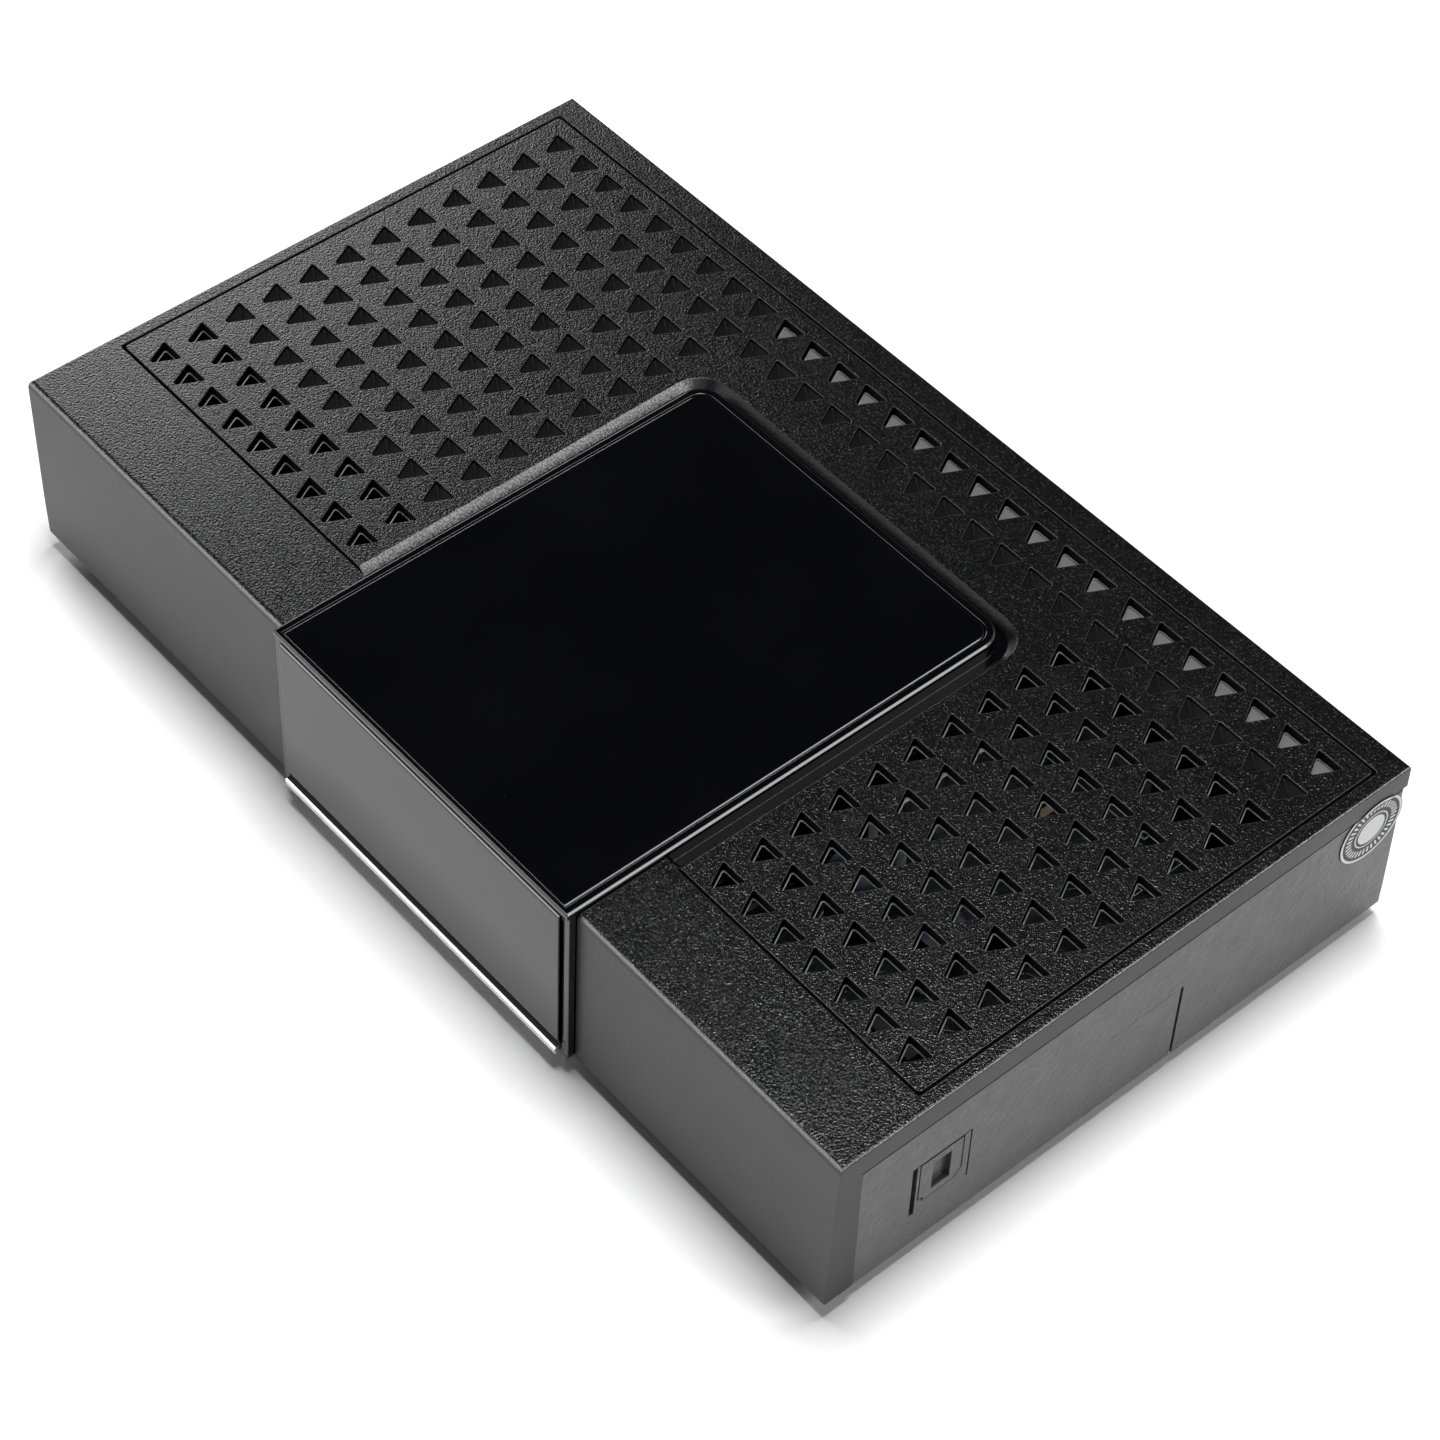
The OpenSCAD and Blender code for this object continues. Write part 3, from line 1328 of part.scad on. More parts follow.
top_cover();
vent_grille();
base_tray();
panel_bezel();
gloss_plate();
front_flap();
flap_lip();
hinge_pins();
front_fascia();
display_window();
standby_button();
channel_down_button();
channel_up_button();
standby_plunger();
channel_down_plunger();
channel_up_plunger();
tact_switches();
front_board();
display_module();
ir_receiver();
status_led();
usb_socket();
card_reader();
card_contacts();
main_board();
processor_chip();
heat_sink();
memory_chips();
flash_chip();
crystal_can();
capacitors();
power_coils();
ribbon_connectors();
ribbon_cable();
tuner_can();
rf_input_socket();
rf_output_plug();
lan_socket();
hdmi_socket();
optical_socket();
optical_shutter();
dc_jack();
power_switch_housing();
power_rocker();
rear_shield();
board_screws();
case_screws();
rubber_feet();
seal_sticker();
rating_label();
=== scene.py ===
import json
import math
import random
import bmesh
import bpy
from mathutils import Matrix, Vector


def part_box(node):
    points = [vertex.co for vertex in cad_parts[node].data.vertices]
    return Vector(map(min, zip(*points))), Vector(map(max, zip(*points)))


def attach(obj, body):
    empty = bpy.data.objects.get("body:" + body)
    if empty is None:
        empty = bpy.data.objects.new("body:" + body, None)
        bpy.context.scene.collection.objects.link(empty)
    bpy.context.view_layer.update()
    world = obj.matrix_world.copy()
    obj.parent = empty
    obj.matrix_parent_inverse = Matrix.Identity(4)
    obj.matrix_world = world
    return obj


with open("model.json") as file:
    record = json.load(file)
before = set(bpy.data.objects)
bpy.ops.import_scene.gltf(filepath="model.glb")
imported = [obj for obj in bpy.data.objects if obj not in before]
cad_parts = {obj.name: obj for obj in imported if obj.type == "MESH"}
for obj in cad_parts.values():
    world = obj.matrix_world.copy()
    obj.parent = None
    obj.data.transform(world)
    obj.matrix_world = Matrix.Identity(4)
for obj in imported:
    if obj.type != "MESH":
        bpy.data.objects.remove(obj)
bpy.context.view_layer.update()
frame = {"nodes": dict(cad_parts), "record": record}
nodes = frame["nodes"]
rng = random.Random(7)

# Case measures are in mm: x from the middle, y back from the front edge, z up from the floor.
# What is said in metres below is in the row frame.
# The fascia's front face lies this far behind the case's front edge
FASCIA_Y = 2.4
MID_Y = FASCIA_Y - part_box("front_fascia")[0].y * 1000
# Top of the main board
BOARD_TOP = 11.2
# Height of the cover's skirt, in metres
SKIRT = 0.0039
# Faces that lean to the right and to the front, halfway to upward
LEANS_RIGHT = (0.7071, 0.0, 0.7071)
LEANS_FRONT = (0.0, -0.7071, 0.7071)
# Edges sharper than this aren't smoothed
SHARP = math.radians(28)


def at(x, y, z):
    """A point of the case, in metres of the row frame."""
    return Vector((x / 1000, (y - MID_Y) / 1000, z / 1000))


def add(name, data):
    """A new object in the scene."""
    obj = bpy.data.objects.new(name, data)
    bpy.context.scene.collection.objects.link(obj)
    return obj


# Camera, solved from the grid of vents
cam_data = bpy.data.cameras.new("camera")
cam_data.sensor_fit = "HORIZONTAL"
cam_data.sensor_width = 36.0
cam_data.lens = 93.286
cam_data.clip_start = 0.01
cam_data.clip_end = 20.0
camera = add("camera", cam_data)
camera.matrix_world = Matrix((
    (0.64508438, -0.58146221, 0.49574977, 0.25627541),
    (0.76401555, 0.4805525, -0.43052239, -0.16920315 - MID_Y / 1000),
    (0.01209871, 0.6564838, 0.75424309, 0.3860272),
    (0.0, 0.0, 0.0, 1.0)))
bpy.context.scene.camera = camera
bpy.context.scene.view_settings.view_transform = "Standard"


class Net:
    """A node tree and short calls that add nodes to it."""

    def __init__(self, tree):
        self.nt = tree
        self.nt.nodes.clear()

    def new(self, kind, **settings):
        n = self.nt.nodes.new(kind)
        for key, value in settings.items():
            setattr(n, key, value)
        return n

    def put(self, socket, value):
        """Links an output to a socket, or sets a plain value on it."""
        if isinstance(value, bpy.types.NodeSocket):
            self.nt.links.new(value, socket)
        elif value is not None:
            socket.default_value = value

    def fill(self, node, *values):
        for socket, value in zip(node.inputs, values):
            self.put(socket, value)
        return node

    def math(self, op, a, b=None, clamp=False):
        n = self.new("ShaderNodeMath", operation=op, use_clamp=clamp)
        return self.fill(n, a, b).outputs[0]

    def times(self, a, b):
        return self.math("MULTIPLY", a, b)

    def most(self, a, b):
        return self.math("MAXIMUM", a, b)

    def dot(self, a, b):
        n = self.new("ShaderNodeVectorMath", operation="DOT_PRODUCT")
        return self.fill(n, a, b).outputs["Value"]

    def span(self, value, a, b, c, d, smooth=False):
        """A value that runs from a to b, drawn out to run from c to d and held beyond them."""
        kind = "SMOOTHSTEP" if smooth else "LINEAR"
        n = self.new("ShaderNodeMapRange", interpolation_type=kind)
        return self.fill(n, value, a, b, c, d).outputs[0]

    def mix(self, fac, a, b):
        """The colour a where fac is 0 and b where it is 1."""
        n = self.new("ShaderNodeMix", data_type="RGBA", clamp_factor=True)
        self.put(n.inputs[0], fac)
        for i, v in ((6, a), (7, b)):
            self.put(n.inputs[i], (*v, 1.0) if isinstance(v, tuple) else v)
        return n.outputs[2]


class Tree(Net):
    """A material with one Principled shader."""

    def __init__(self, name):
        self.mat = bpy.data.materials.new(name)
        self.mat.use_nodes = True
        super().__init__(self.mat.node_tree)
        out = self.new("ShaderNodeOutputMaterial")
        self.bsdf = self.new("ShaderNodeBsdfPrincipled")
        self.put(out.inputs[0], self.bsdf.outputs[0])
        self.coord = self.new("ShaderNodeTexCoord").outputs

    def finish(self, color, rough, normal, level=0.5, metal=0.0):
        """Feeds the shader and gives the material."""
        for name, value in (("Base Color", color), ("Roughness", rough), ("Normal", normal),
                            ("Specular IOR Level", level), ("Metallic", metal)):
            self.put(self.bsdf.inputs[name], value)
        return self.mat

    def noise(self, scale, detail=2.0, rough=0.5, vector=None, distortion=0.0):
        n = self.new("ShaderNodeTexNoise")
        for name, value in (("Scale", scale), ("Detail", detail), ("Roughness", rough),
                            ("Distortion", distortion), ("Vector", vector or self.coord["Object"])):
            self.put(n.inputs[name], value)
        return n.outputs["Fac"]

    def vary(self, scale, detail, rough, low, high):
        """A value that drifts between low and high."""
        return self.span(self.noise(scale, detail, rough), 0.3, 0.7, low, high)

    def axes(self, what="Object"):
        return self.fill(self.new("ShaderNodeSeparateXYZ"), self.coord[what]).outputs

    def facing(self, way):
        """How far the surface faces a direction."""
        return self.dot(self.coord["Normal"], way)

    def band(self, value, low, high, inside=1.0, outside=0.0):
        """One value between low and high and another beyond, with the border just within."""
        mid, half = (low + high) / 2, (high - low) / 2
        off = self.math("ABSOLUTE", self.math("SUBTRACT", value, mid))
        return self.span(off, half - 0.001, half - 0.0008, inside, outside)

    def stretch(self, x, y, z):
        n = self.fill(self.new("ShaderNodeMapping"), self.coord["Object"])
        n.inputs["Scale"].default_value = (x, y, z)
        return n.outputs[0]

    def bevel(self, radius, samples=4):
        n = self.new("ShaderNodeBevel", samples=samples)
        n.inputs["Radius"].default_value = radius
        return n.outputs[0]

    def edges(self, rounded):
        """1 on edges and 0 on faces, from how far the rounded normal leaves the true one."""
        true = self.new("ShaderNodeNewGeometry").outputs["True Normal"]
        return self.span(self.dot(rounded, true), 0.98, 0.8, 0.0, 1.0)

    def bump(self, height, distance, normal=None):
        n = self.new("ShaderNodeBump")
        for name, value in (("Distance", distance), ("Height", height), ("Normal", normal)):
            self.put(n.inputs[name], value)
        return n.outputs[0]


def dim(c, k):
    return tuple(min(1.0, v * k) for v in c)


def surface(name, color, rough, metal=0.0, wear=0.25, wear_to=None, mottle=0.2,
            mottle_scale=900.0, uneven=0.06, grain=((3000.0, 0.000006),), stretch=None):
    """Mottled colour, uneven gloss, grain in relief and soft edges that wear lighter."""
    t = Tree(name)
    vec = t.stretch(*stretch) if stretch else None
    soft = t.bevel(0.00015)
    edge = t.times(t.edges(soft), wear)
    blot = t.span(t.noise(mottle_scale, 3.0, 0.6, vec), 0.3, 0.7, 0.0, 1.0)
    base = t.mix(blot, dim(color, 1 - mottle), dim(color, 1 + mottle))
    drift = t.noise(mottle_scale * 0.35, 3.0, 0.55, vec)
    normal = soft
    for scale, depth in grain:
        normal = t.bump(t.noise(scale, 2.0, 0.55, vec), depth, normal)
    return t.finish(t.mix(edge, base, wear_to or dim(color, 1.8)),
                    t.span(drift, 0.25, 0.75, max(0.02, rough - uneven), rough + uneven),
                    normal, metal=metal)


def case_plastic():
    """Moulded black plastic: spark-eroded grain on the faces that look up, a finer satin on the
    rest; the vent walls painted dark as shade, paler towards the bottoms of the blind vents as a
    painted highlight, and pale painted highlights on the slanted edges."""
    t = Tree("case_black")
    facing = t.axes("Normal")
    place = t.axes()
    low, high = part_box("vent_grille")
    near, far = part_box("panel_bezel")
    up = t.span(facing[2], 0.55, 0.95, 0.0, 1.0)
    flank = t.span(facing[0], 0.5, 0.9, 0.0, 1.0)
    soft = t.bevel(0.00016, 6)
    edge = t.edges(soft)
    # Inside the vents, but not in the panel's opening
    beside = t.band(place[0], near.x, far.x, 0.0, 1.0)
    behind = t.span(place[1], far.y - 0.001, far.y - 0.0008, 0.0, 1.0)
    deep = t.span(place[2], high.z - 0.0003, high.z - 0.00015, 1.0, 0.0)
    within = t.times(t.band(place[0], low.x, high.x), t.band(place[1], low.y, high.y))
    sunk = t.times(within, t.times(deep, t.most(beside, behind)))
    # Slanted edges: painted highlight beside the panel and, faintly, along the front, where they
    # are coloured pale; less specular at the back of the opening
    forward = t.facing(LEANS_FRONT)
    ahead = t.span(place[1], low.y - 0.01, low.y - 0.009, 1.0, 0.0)
    rim = t.times(t.span(forward, 0.92, 0.985, 0.0, 1.0), t.times(ahead, 0.12))
    slant = t.most(t.span(t.facing(LEANS_RIGHT), 0.93, 0.985, 0.0, 1.0), rim)
    hidden = t.times(t.span(forward, 0.8, 0.92, 0.0, 1.0), t.math("SUBTRACT", 1.0, ahead))
    # Colour: tiny pale specks on black, mostly on top
    cloud = t.vary(420.0, 3.0, 0.6, 0.0, 1.0)
    dark = t.mix(cloud, (0.0030, 0.0030, 0.0032), (0.0046, 0.0046, 0.0048))
    speck = t.span(t.noise(3600.0, 2.0, 0.7), 0.54, 0.68, 0.0, 1.0)
    spot = t.mix(t.times(t.span(up, 0.0, 1.0, 0.25, 1.0), speck), dark, (0.027, 0.027, 0.028))
    grit = t.span(t.noise(3400.0, 2.0, 0.7), 0.42, 0.6, 0.03, 1.0)
    # Pale colour on the slanted faces is a painted highlight; the lighter rounded edges beneath it
    # are wear
    edge_wear_and_painted_highlight = t.mix(t.times(slant, grit), t.mix(t.times(edge, 0.6), spot, (0.09, 0.09, 0.092)),
                 (0.25, 0.25, 0.254))
    # Painted shade: vent walls coloured darker than the case, and painted paler towards the bottoms
    # of the blind vents as a highlight
    pit_bottom_painted_highlight = t.span(place[2], high.z - 0.00135, high.z - 0.0008, 1.0, 0.0)
    vent_painted_shade_and_highlight = t.mix(pit_bottom_painted_highlight, (0.0016, 0.0016, 0.0017), (0.004, 0.004, 0.0042))
    # Gloss
    level = t.math("SUBTRACT", t.math("SUBTRACT", 0.5, t.times(flank, 0.17)),
                   t.times(t.most(sunk, hidden), 0.42), clamp=True)
    rough = t.math("ADD", t.span(up, 0.0, 1.0, 0.42, 0.15), t.vary(60.0, 3.0, 0.5, -0.02, 0.02))
    # Relief
    fine = t.times(t.noise(3000.0, 2.0, 0.65), t.span(up, 0.0, 1.0, 0.4, 1.0))
    broad = t.times(t.noise(1500.0, 2.0, 0.5), t.span(up, 0.0, 1.0, 0.1, 0.3))
    return t.finish(t.mix(sunk, edge_wear_and_painted_highlight, vent_painted_shade_and_highlight), t.math("ADD", rough, t.times(sunk, 0.4)),
                    t.bump(t.math("ADD", fine, broad), 0.00007, soft), level)


def base_plastic():
    """Lower case: even orange-peel texture."""
    t = Tree("base_black")
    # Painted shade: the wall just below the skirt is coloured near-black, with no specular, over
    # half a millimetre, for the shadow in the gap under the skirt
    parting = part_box("top_cover")[1].z - SKIRT
    seam_painted_shade = t.span(t.axes()[2], parting - 0.00092, parting - 0.00086, 0.0, 1.0)
    soft = t.bevel(0.00012, 6)
    fleck = t.span(t.noise(2400.0, 3.0, 0.7), 0.35, 0.65, 0.0, 1.0)
    dark = t.mix(fleck, (0.022, 0.022, 0.0228), (0.052, 0.052, 0.0535))
    wall = t.mix(t.times(t.edges(soft), 0.3), dark, (0.1, 0.1, 0.102))
    peel = t.math("ADD", t.noise(900.0, 1.0, 0.4), t.times(t.noise(2600.0, 2.0, 0.5), 0.6))
    return t.finish(t.mix(seam_painted_shade, wall, (0.003, 0.003, 0.0032)), t.vary(300.0, 2.0, 0.5, 0.4, 0.48),
                    t.bump(peel, 0.00011, soft), t.math("SUBTRACT", 0.75, t.times(seam_painted_shade, 0.75)))


def gloss_plastic():
    """Polished black: faint hairlines and dust, soft bright edges."""
    t = Tree("gloss_black")
    soft = t.bevel(0.00022, 8)
    hairs = [t.span(t.noise(1.0, 2.0, 0.6, t.stretch(*run), 0.4), 0.68, 0.75, 0.0, 1.0)
             for run in ((5200.0, 160.0, 160.0), (210.0, 4700.0, 180.0))]
    lines = t.most(*hairs)
    dust = t.span(t.noise(1900.0, 2.0, 0.6), 0.73, 0.8, 0.0, 1.0)
    cloud = t.vary(45.0, 2.0, 0.5, 0.0, 1.0)
    tone = t.mix(cloud, (0.0009, 0.0010, 0.0014), (0.0016, 0.0017, 0.0022))
    rough = t.math("ADD", t.vary(80.0, 3.0, 0.6, 0.035, 0.06), t.times(t.most(lines, dust), 0.04))
    relief = t.math("ADD", t.noise(140.0, 1.0, 0.4), t.times(lines, -0.02))
    return t.finish(t.mix(t.times(dust, 0.5), tone, (0.012, 0.012, 0.013)),
                    t.math("ADD", rough, t.times(t.edges(soft), 0.16)),
                    t.bump(relief, 0.000012, soft), 0.55)


def trim_metal():
    """Bright trim: polished faces; its upward face, which runs back under the window, is dulled and
    painted dark as shade."""
    t = Tree("bright_trim")
    up = t.span(t.axes("Normal")[2], 0.7, 0.95, 0.0, 1.0)
    fine = t.noise(1200.0, 2.0, 0.5)
    bright = t.mix(fine, (0.82, 0.82, 0.83), (0.9, 0.9, 0.91))
    # Upward faces painted near-black and made less metallic: painted shade under the window
    return t.finish(t.mix(up, bright, (0.02, 0.02, 0.021)),
                    t.math("ADD", t.span(up, 0.0, 1.0, 0.14, 0.35), t.times(fine, 0.06)),
                    t.bump(fine, 0.000004, t.bevel(0.0001)), metal=t.span(up, 0.0, 1.0, 1.0, 0.2))


def sticker_film():
    """Round printed film: dark ground, light rings, a light middle and a ring of short ticks."""
    t = Tree("sticker")
    low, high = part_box("seal_sticker")
    mid = (low + high) / 2
    place = t.axes()
    dy = t.math("SUBTRACT", place[1], mid.y)
    dz = t.math("SUBTRACT", place[2], mid.z)
    r = t.math("SQRT", t.math("ADD", t.times(dy, dy), t.times(dz, dz)))

    def hoop(inner, outer, soft=0.00006):
        return t.times(t.span(r, inner - soft, inner + soft, 0.0, 1.0),
                       t.span(r, outer - soft, outer + soft, 1.0, 0.0))

    wave = t.math("SINE", t.times(t.math("ARCTAN2", dz, dy), 36.0))
    ticks = t.times(t.math("GREATER_THAN", wave, 0.1), hoop(0.0036, 0.0046))
    rings = t.most(hoop(0.0051, 0.0055), hoop(0.0028, 0.0030))
    printed = t.most(t.most(rings, ticks), hoop(-0.001, 0.0024))
    grit = t.noise(2600.0, 3.0, 0.6)
    ground = t.mix(grit, (0.012, 0.0125, 0.014), (0.022, 0.023, 0.025))
    ink = t.mix(grit, (0.8, 0.8, 0.8), (0.95, 0.95, 0.95))
    return t.finish(t.mix(printed, ground, ink), t.vary(800.0, 3.0, 0.6, 0.3, 0.42),
                    t.bump(t.noise(700.0, 2.0, 0.5), 0.00002, t.bevel(0.0001)), 0.12)


def label_film():
    """Bare grey label with a thin dark border line."""
    t = Tree("label")
    low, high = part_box("rating_label")
    mid = (low + high) / 2
    half = (high - low) / 2
    place = t.axes()
    gaps = [t.math("SUBTRACT", half[i], t.math("ABSOLUTE", t.math("SUBTRACT", place[i], mid[i])))
            for i in (0, 1)]
    gap = t.math("MINIMUM", *gaps)
    line = t.times(t.math("GREATER_THAN", gap, 0.0010), t.math("LESS_THAN", gap, 0.0014))
    film = t.mix(t.noise(1400.0, 3.0, 0.6), (0.52, 0.53, 0.54), (0.64, 0.65, 0.66))
    return t.finish(t.mix(line, film, (0.06, 0.06, 0.06)), t.vary(500.0, 2.0, 0.5, 0.38, 0.5),
                    t.bump(t.noise(260.0, 2.0, 0.5), 0.00002, t.bevel(0.00008)))


def board_film():
    """Circuit board: dark green mask with tracks showing through in relief and tone."""
    t = Tree("board_green")
    cells = t.new("ShaderNodeTexVoronoi", distance="CHEBYCHEV", feature="DISTANCE_TO_EDGE")
    cells.inputs["Scale"].default_value = 420.0
    t.put(cells.inputs["Vector"], t.coord["Object"])
    track = t.span(cells.outputs["Distance"], 0.05, 0.09, 1.0, 0.0)
    tone = t.mix(t.noise(120.0, 3.0, 0.6), (0.0016, 0.0045, 0.0028), (0.003, 0.008, 0.005))
    relief = t.math("ADD", track, t.times(t.noise(3000.0, 2.0, 0.5), 0.2))
    return t.finish(t.mix(track, tone, (0.006, 0.015, 0.009)), t.vary(300.0, 2.0, 0.5, 0.25, 0.4),
                    t.bump(relief, 0.00003, t.bevel(0.0001)))


special = {"case_black": case_plastic, "base_black": base_plastic, "gloss_black": gloss_plastic,
           "bright_trim": trim_metal, "sticker": sticker_film, "label": label_film,
           "board_green": board_film}
FINE = ((2600.0, 0.00001),)
plain = {
    "steel": dict(color=(0.55, 0.56, 0.58), rough=0.32, metal=1.0, mottle=0.12, grain=FINE),
    "screw_black": dict(color=(0.045, 0.045, 0.05), rough=0.38, metal=0.6, mottle=0.25, wear=0.5,
                        wear_to=(0.3, 0.3, 0.3), grain=FINE),
    "tin": dict(color=(0.6, 0.61, 0.63), rough=0.34, metal=1.0, mottle=0.08, uneven=0.08,
                stretch=(1.0, 6.0, 6.0), grain=((1800.0, 0.000012), (260.0, 0.00003))),
    "inner_black": dict(color=(0.02, 0.02, 0.021), rough=0.46, grain=((1600.0, 0.00003),)),
    "window_red": dict(color=(0.035, 0.004, 0.004), rough=0.08, mottle=0.15, uneven=0.03,
                       grain=((300.0, 0.000004),)),
    "key_grey": dict(color=(0.075, 0.075, 0.08), rough=0.4, mottle=0.12,
                     grain=((2400.0, 0.00002),)),
    "switch_parts": dict(color=(0.05, 0.05, 0.05), rough=0.5, grain=FINE),
    "display": dict(color=(0.3, 0.3, 0.27), rough=0.3, mottle=0.1, grain=FINE),
    "receiver": dict(color=(0.03, 0.006, 0.012), rough=0.1, grain=((500.0, 0.000006),)),
    "lamp": dict(color=(0.45, 0.03, 0.02), rough=0.12, mottle=0.1, grain=((500.0, 0.000006),)),
    "chip_black": dict(color=(0.018, 0.018, 0.019), rough=0.55, mottle=0.25,
                       grain=((4200.0, 0.00002),)),
    "fins": dict(color=(0.6, 0.61, 0.62), rough=0.35, metal=1.0, mottle=0.08,
                 stretch=(8.0, 1.0, 8.0), grain=((900.0, 0.00002),)),
    "can_sleeve": dict(color=(0.03, 0.035, 0.06), rough=0.3, mottle=0.15,
                       grain=((700.0, 0.00001),)),
    "connector_white": dict(color=(0.7, 0.67, 0.58), rough=0.45, mottle=0.08, grain=FINE),
    "ribbon": dict(color=(0.55, 0.55, 0.58), rough=0.35, mottle=0.1, stretch=(6.0, 1.0, 1.0),
                   grain=((700.0, 0.00003),)),
    "gold": dict(color=(0.83, 0.6, 0.24), rough=0.25, metal=1.0, mottle=0.06, grain=FINE),
    "nickel": dict(color=(0.7, 0.67, 0.6), rough=0.24, metal=1.0, mottle=0.06,
                   grain=((1500.0, 0.00001),)),
    "foot_rubber": dict(color=(0.018, 0.018, 0.018), rough=0.75, mottle=0.25,
                        grain=((1400.0, 0.00005),)),
}
finishes = {}
for entry in frame["record"]["materials"]:
    slot = entry["slot"]
    finishes[slot] = special[slot]() if slot in special else surface(slot, **plain[slot])


def smooth(mesh):
    """Smooth shading that keeps the sharp edges."""
    for poly in mesh.polygons:
        poly.use_smooth = True
    mesh.set_sharp_from_angle(angle=SHARP)


for part in frame["record"]["subparts"]:
    mesh = nodes[part["node"]].data
    if not mesh.materials:
        mesh.materials.append(None)
    for i in range(len(mesh.materials)):
        mesh.materials[i] = finishes[part["material_slot"]]
    smooth(mesh)


# Small pieces that the solids leave out
def piece(name, material, build, body="case"):
    """A new mesh piece from a bmesh-building function, riding on a body."""
    bm = bmesh.new()
    build(bm)
    mesh = bpy.data.meshes.new(name)
    bm.to_mesh(mesh)
    bm.free()
    obj = add(name, mesh)
    mesh.materials.append(material)
    smooth(mesh)
    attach(obj, body)


def bridge(bm, a, b):
    """Faces between two closed loops of as many vertices."""
    for i in range(len(a)):
        j = (i + 1) % len(a)
        bm.faces.new((a[i], a[j], b[j], b[i]))


def box(bm, x0, x1, y0, y1, z0, z1, cut=0.0):
    """A block in case mm whose upper edges are cut at a slant."""
    foot = [(x0, y0), (x1, y0), (x1, y1), (x0, y1)]
    head = [(x0 + cut, y0 + cut), (x1 - cut, y0 + cut), (x1 - cut, y1 - cut), (x0 + cut, y1 - cut)]
    steps = [(foot, z0), (foot, z1 - cut), (head, z1)] if cut else [(foot, z0), (foot, z1)]
    levels = [[bm.verts.new(at(x, y, z)) for x, y in loop] for loop, z in steps]
    bm.faces.new(list(reversed(levels[0])))
    for a, b in zip(levels, levels[1:]):
        bridge(bm, a, b)
    bm.faces.new(levels[-1])


def case_box(name):
    """A node's box in case mm: x0, x1, y0, y1, z0, z1."""
    low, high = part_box(name)
    return (low.x * 1000, high.x * 1000, low.y * 1000 + MID_Y, high.y * 1000 + MID_Y,
            low.z * 1000, high.z * 1000)


# Round components on the main board, x, y and radius, and its four screws, x and y
ROUNDS = ((-51.8, 41.3, 5), (-51.8, 54.9, 5), (47.6, 35.3, 4), (59.5, 38.7, 3.2), (39.2, 23.3, 2.5),
          (-11.9, 31.0, 3.2))
SCREWS = ((-64, 20), (64, 20), (-64, 80), (64, 80))
# What stands higher than this takes room on the board
CLEAR_Z = BOARD_TOP + 0.2

# Footprints on the main board that small components keep clear of
taken = []
for name in ("processor_chip", "heat_sink", "flash_chip", "crystal_can", "tuner_can", "lan_socket",
             "hdmi_socket", "optical_socket", "dc_jack", "power_switch_housing", "ribbon_cable",
             "usb_socket", "card_reader"):
    x0, x1, y0, y1, z0, z1 = case_box(name)
    if z1 > CLEAR_Z:
        taken.append((x0 - 1, x1 + 1, y0 - 1, y1 + 1))


def take(x, y, w, d):
    """Marks a footprint by its middle and half sides."""
    taken.append((x - w, x + w, y - d, y + d))


for x, y, r in ROUNDS:
    take(x, y, r + 1.4, r + 1.4)
for x, y in SCREWS:
    take(x, y, 4, 4)
for name in ("memory_chips", "power_coils", "capacitors", "board_screws", "ribbon_connectors"):
    spots = {}
    for v in nodes[name].data.vertices:
        if v.co.z * 1000 > CLEAR_Z:
            # One spot in each square of 4 mm
            square = (round(v.co.x * 250), round(v.co.y * 250))
            spots.setdefault(square, (v.co.x * 1000, v.co.y * 1000 + MID_Y))
    for x, y in spots.values():
        take(x, y, 2.2, 2.2)


def free(x, y, w, d):
    """Whether a footprint, by its middle and half sides, meets no other."""
    return all(x + w < a or x - w > b or y + d < e or y - d > f for a, b, e, f in taken)


# Small components: length, width and height of the usual sizes
SIZES = ((1.6, 0.8, 0.45), (2.0, 1.25, 0.6), (1.0, 0.5, 0.35), (3.2, 1.6, 0.8))
MOST_CHIPS = 260
MOST_TRIES = 6000
# Share of the length that each solder end takes
END_SHARE = 0.2
chips, ends, marks = [], [], []
tries = 0
while len(chips) < MOST_CHIPS and tries < MOST_TRIES:
    tries += 1
    lengthwise = rng.random() < 0.5
    a, b, h = rng.choice(SIZES)
    x, y = rng.uniform(-66, 66), rng.uniform(10, 88)
    w, d = (a, b) if lengthwise else (b, a)
    if not free(x, y, w / 2 + 0.3, d / 2 + 0.3):
        continue
    take(x, y, w / 2 + 0.5, d / 2 + 0.5)
    chips.append((x, y, w, d, h, rng.random() < 0.5))
    end = a * END_SHARE
    for s in (-1, 1):
        if lengthwise:
            ends.append((x + s * (w / 2 - end / 2), y, end, d, h))
        else:
            ends.append((x, y + s * (d / 2 - end / 2), w, end, h))
    if rng.random() < 0.6:
        marks.append((x, y, w + 0.7, d + 0.7))


def build_chips(tan):
    """Bodies of the resistors, or of the ceramic capacitors, between their solder ends."""
    def build(bm):
        for x, y, w, d, h, kind in chips:
            if kind == tan:
                along, across = (0.8, 1.0) if w > d else (1.0, 0.8)
                w, d = w * along / 2 * 0.78, d * across / 2 * 0.78
                box(bm, x - w, x + w, y - d, y + d, BOARD_TOP, BOARD_TOP + h, 0.05)
    return build


def build_ends(bm):
    for x, y, w, d, h in ends:
        box(bm, x - w / 2, x + w / 2, y - d / 2, y + d / 2, BOARD_TOP, BOARD_TOP + h + 0.03, 0.04)


# Top of the print on the board
PRINT_Z = BOARD_TOP + 0.03


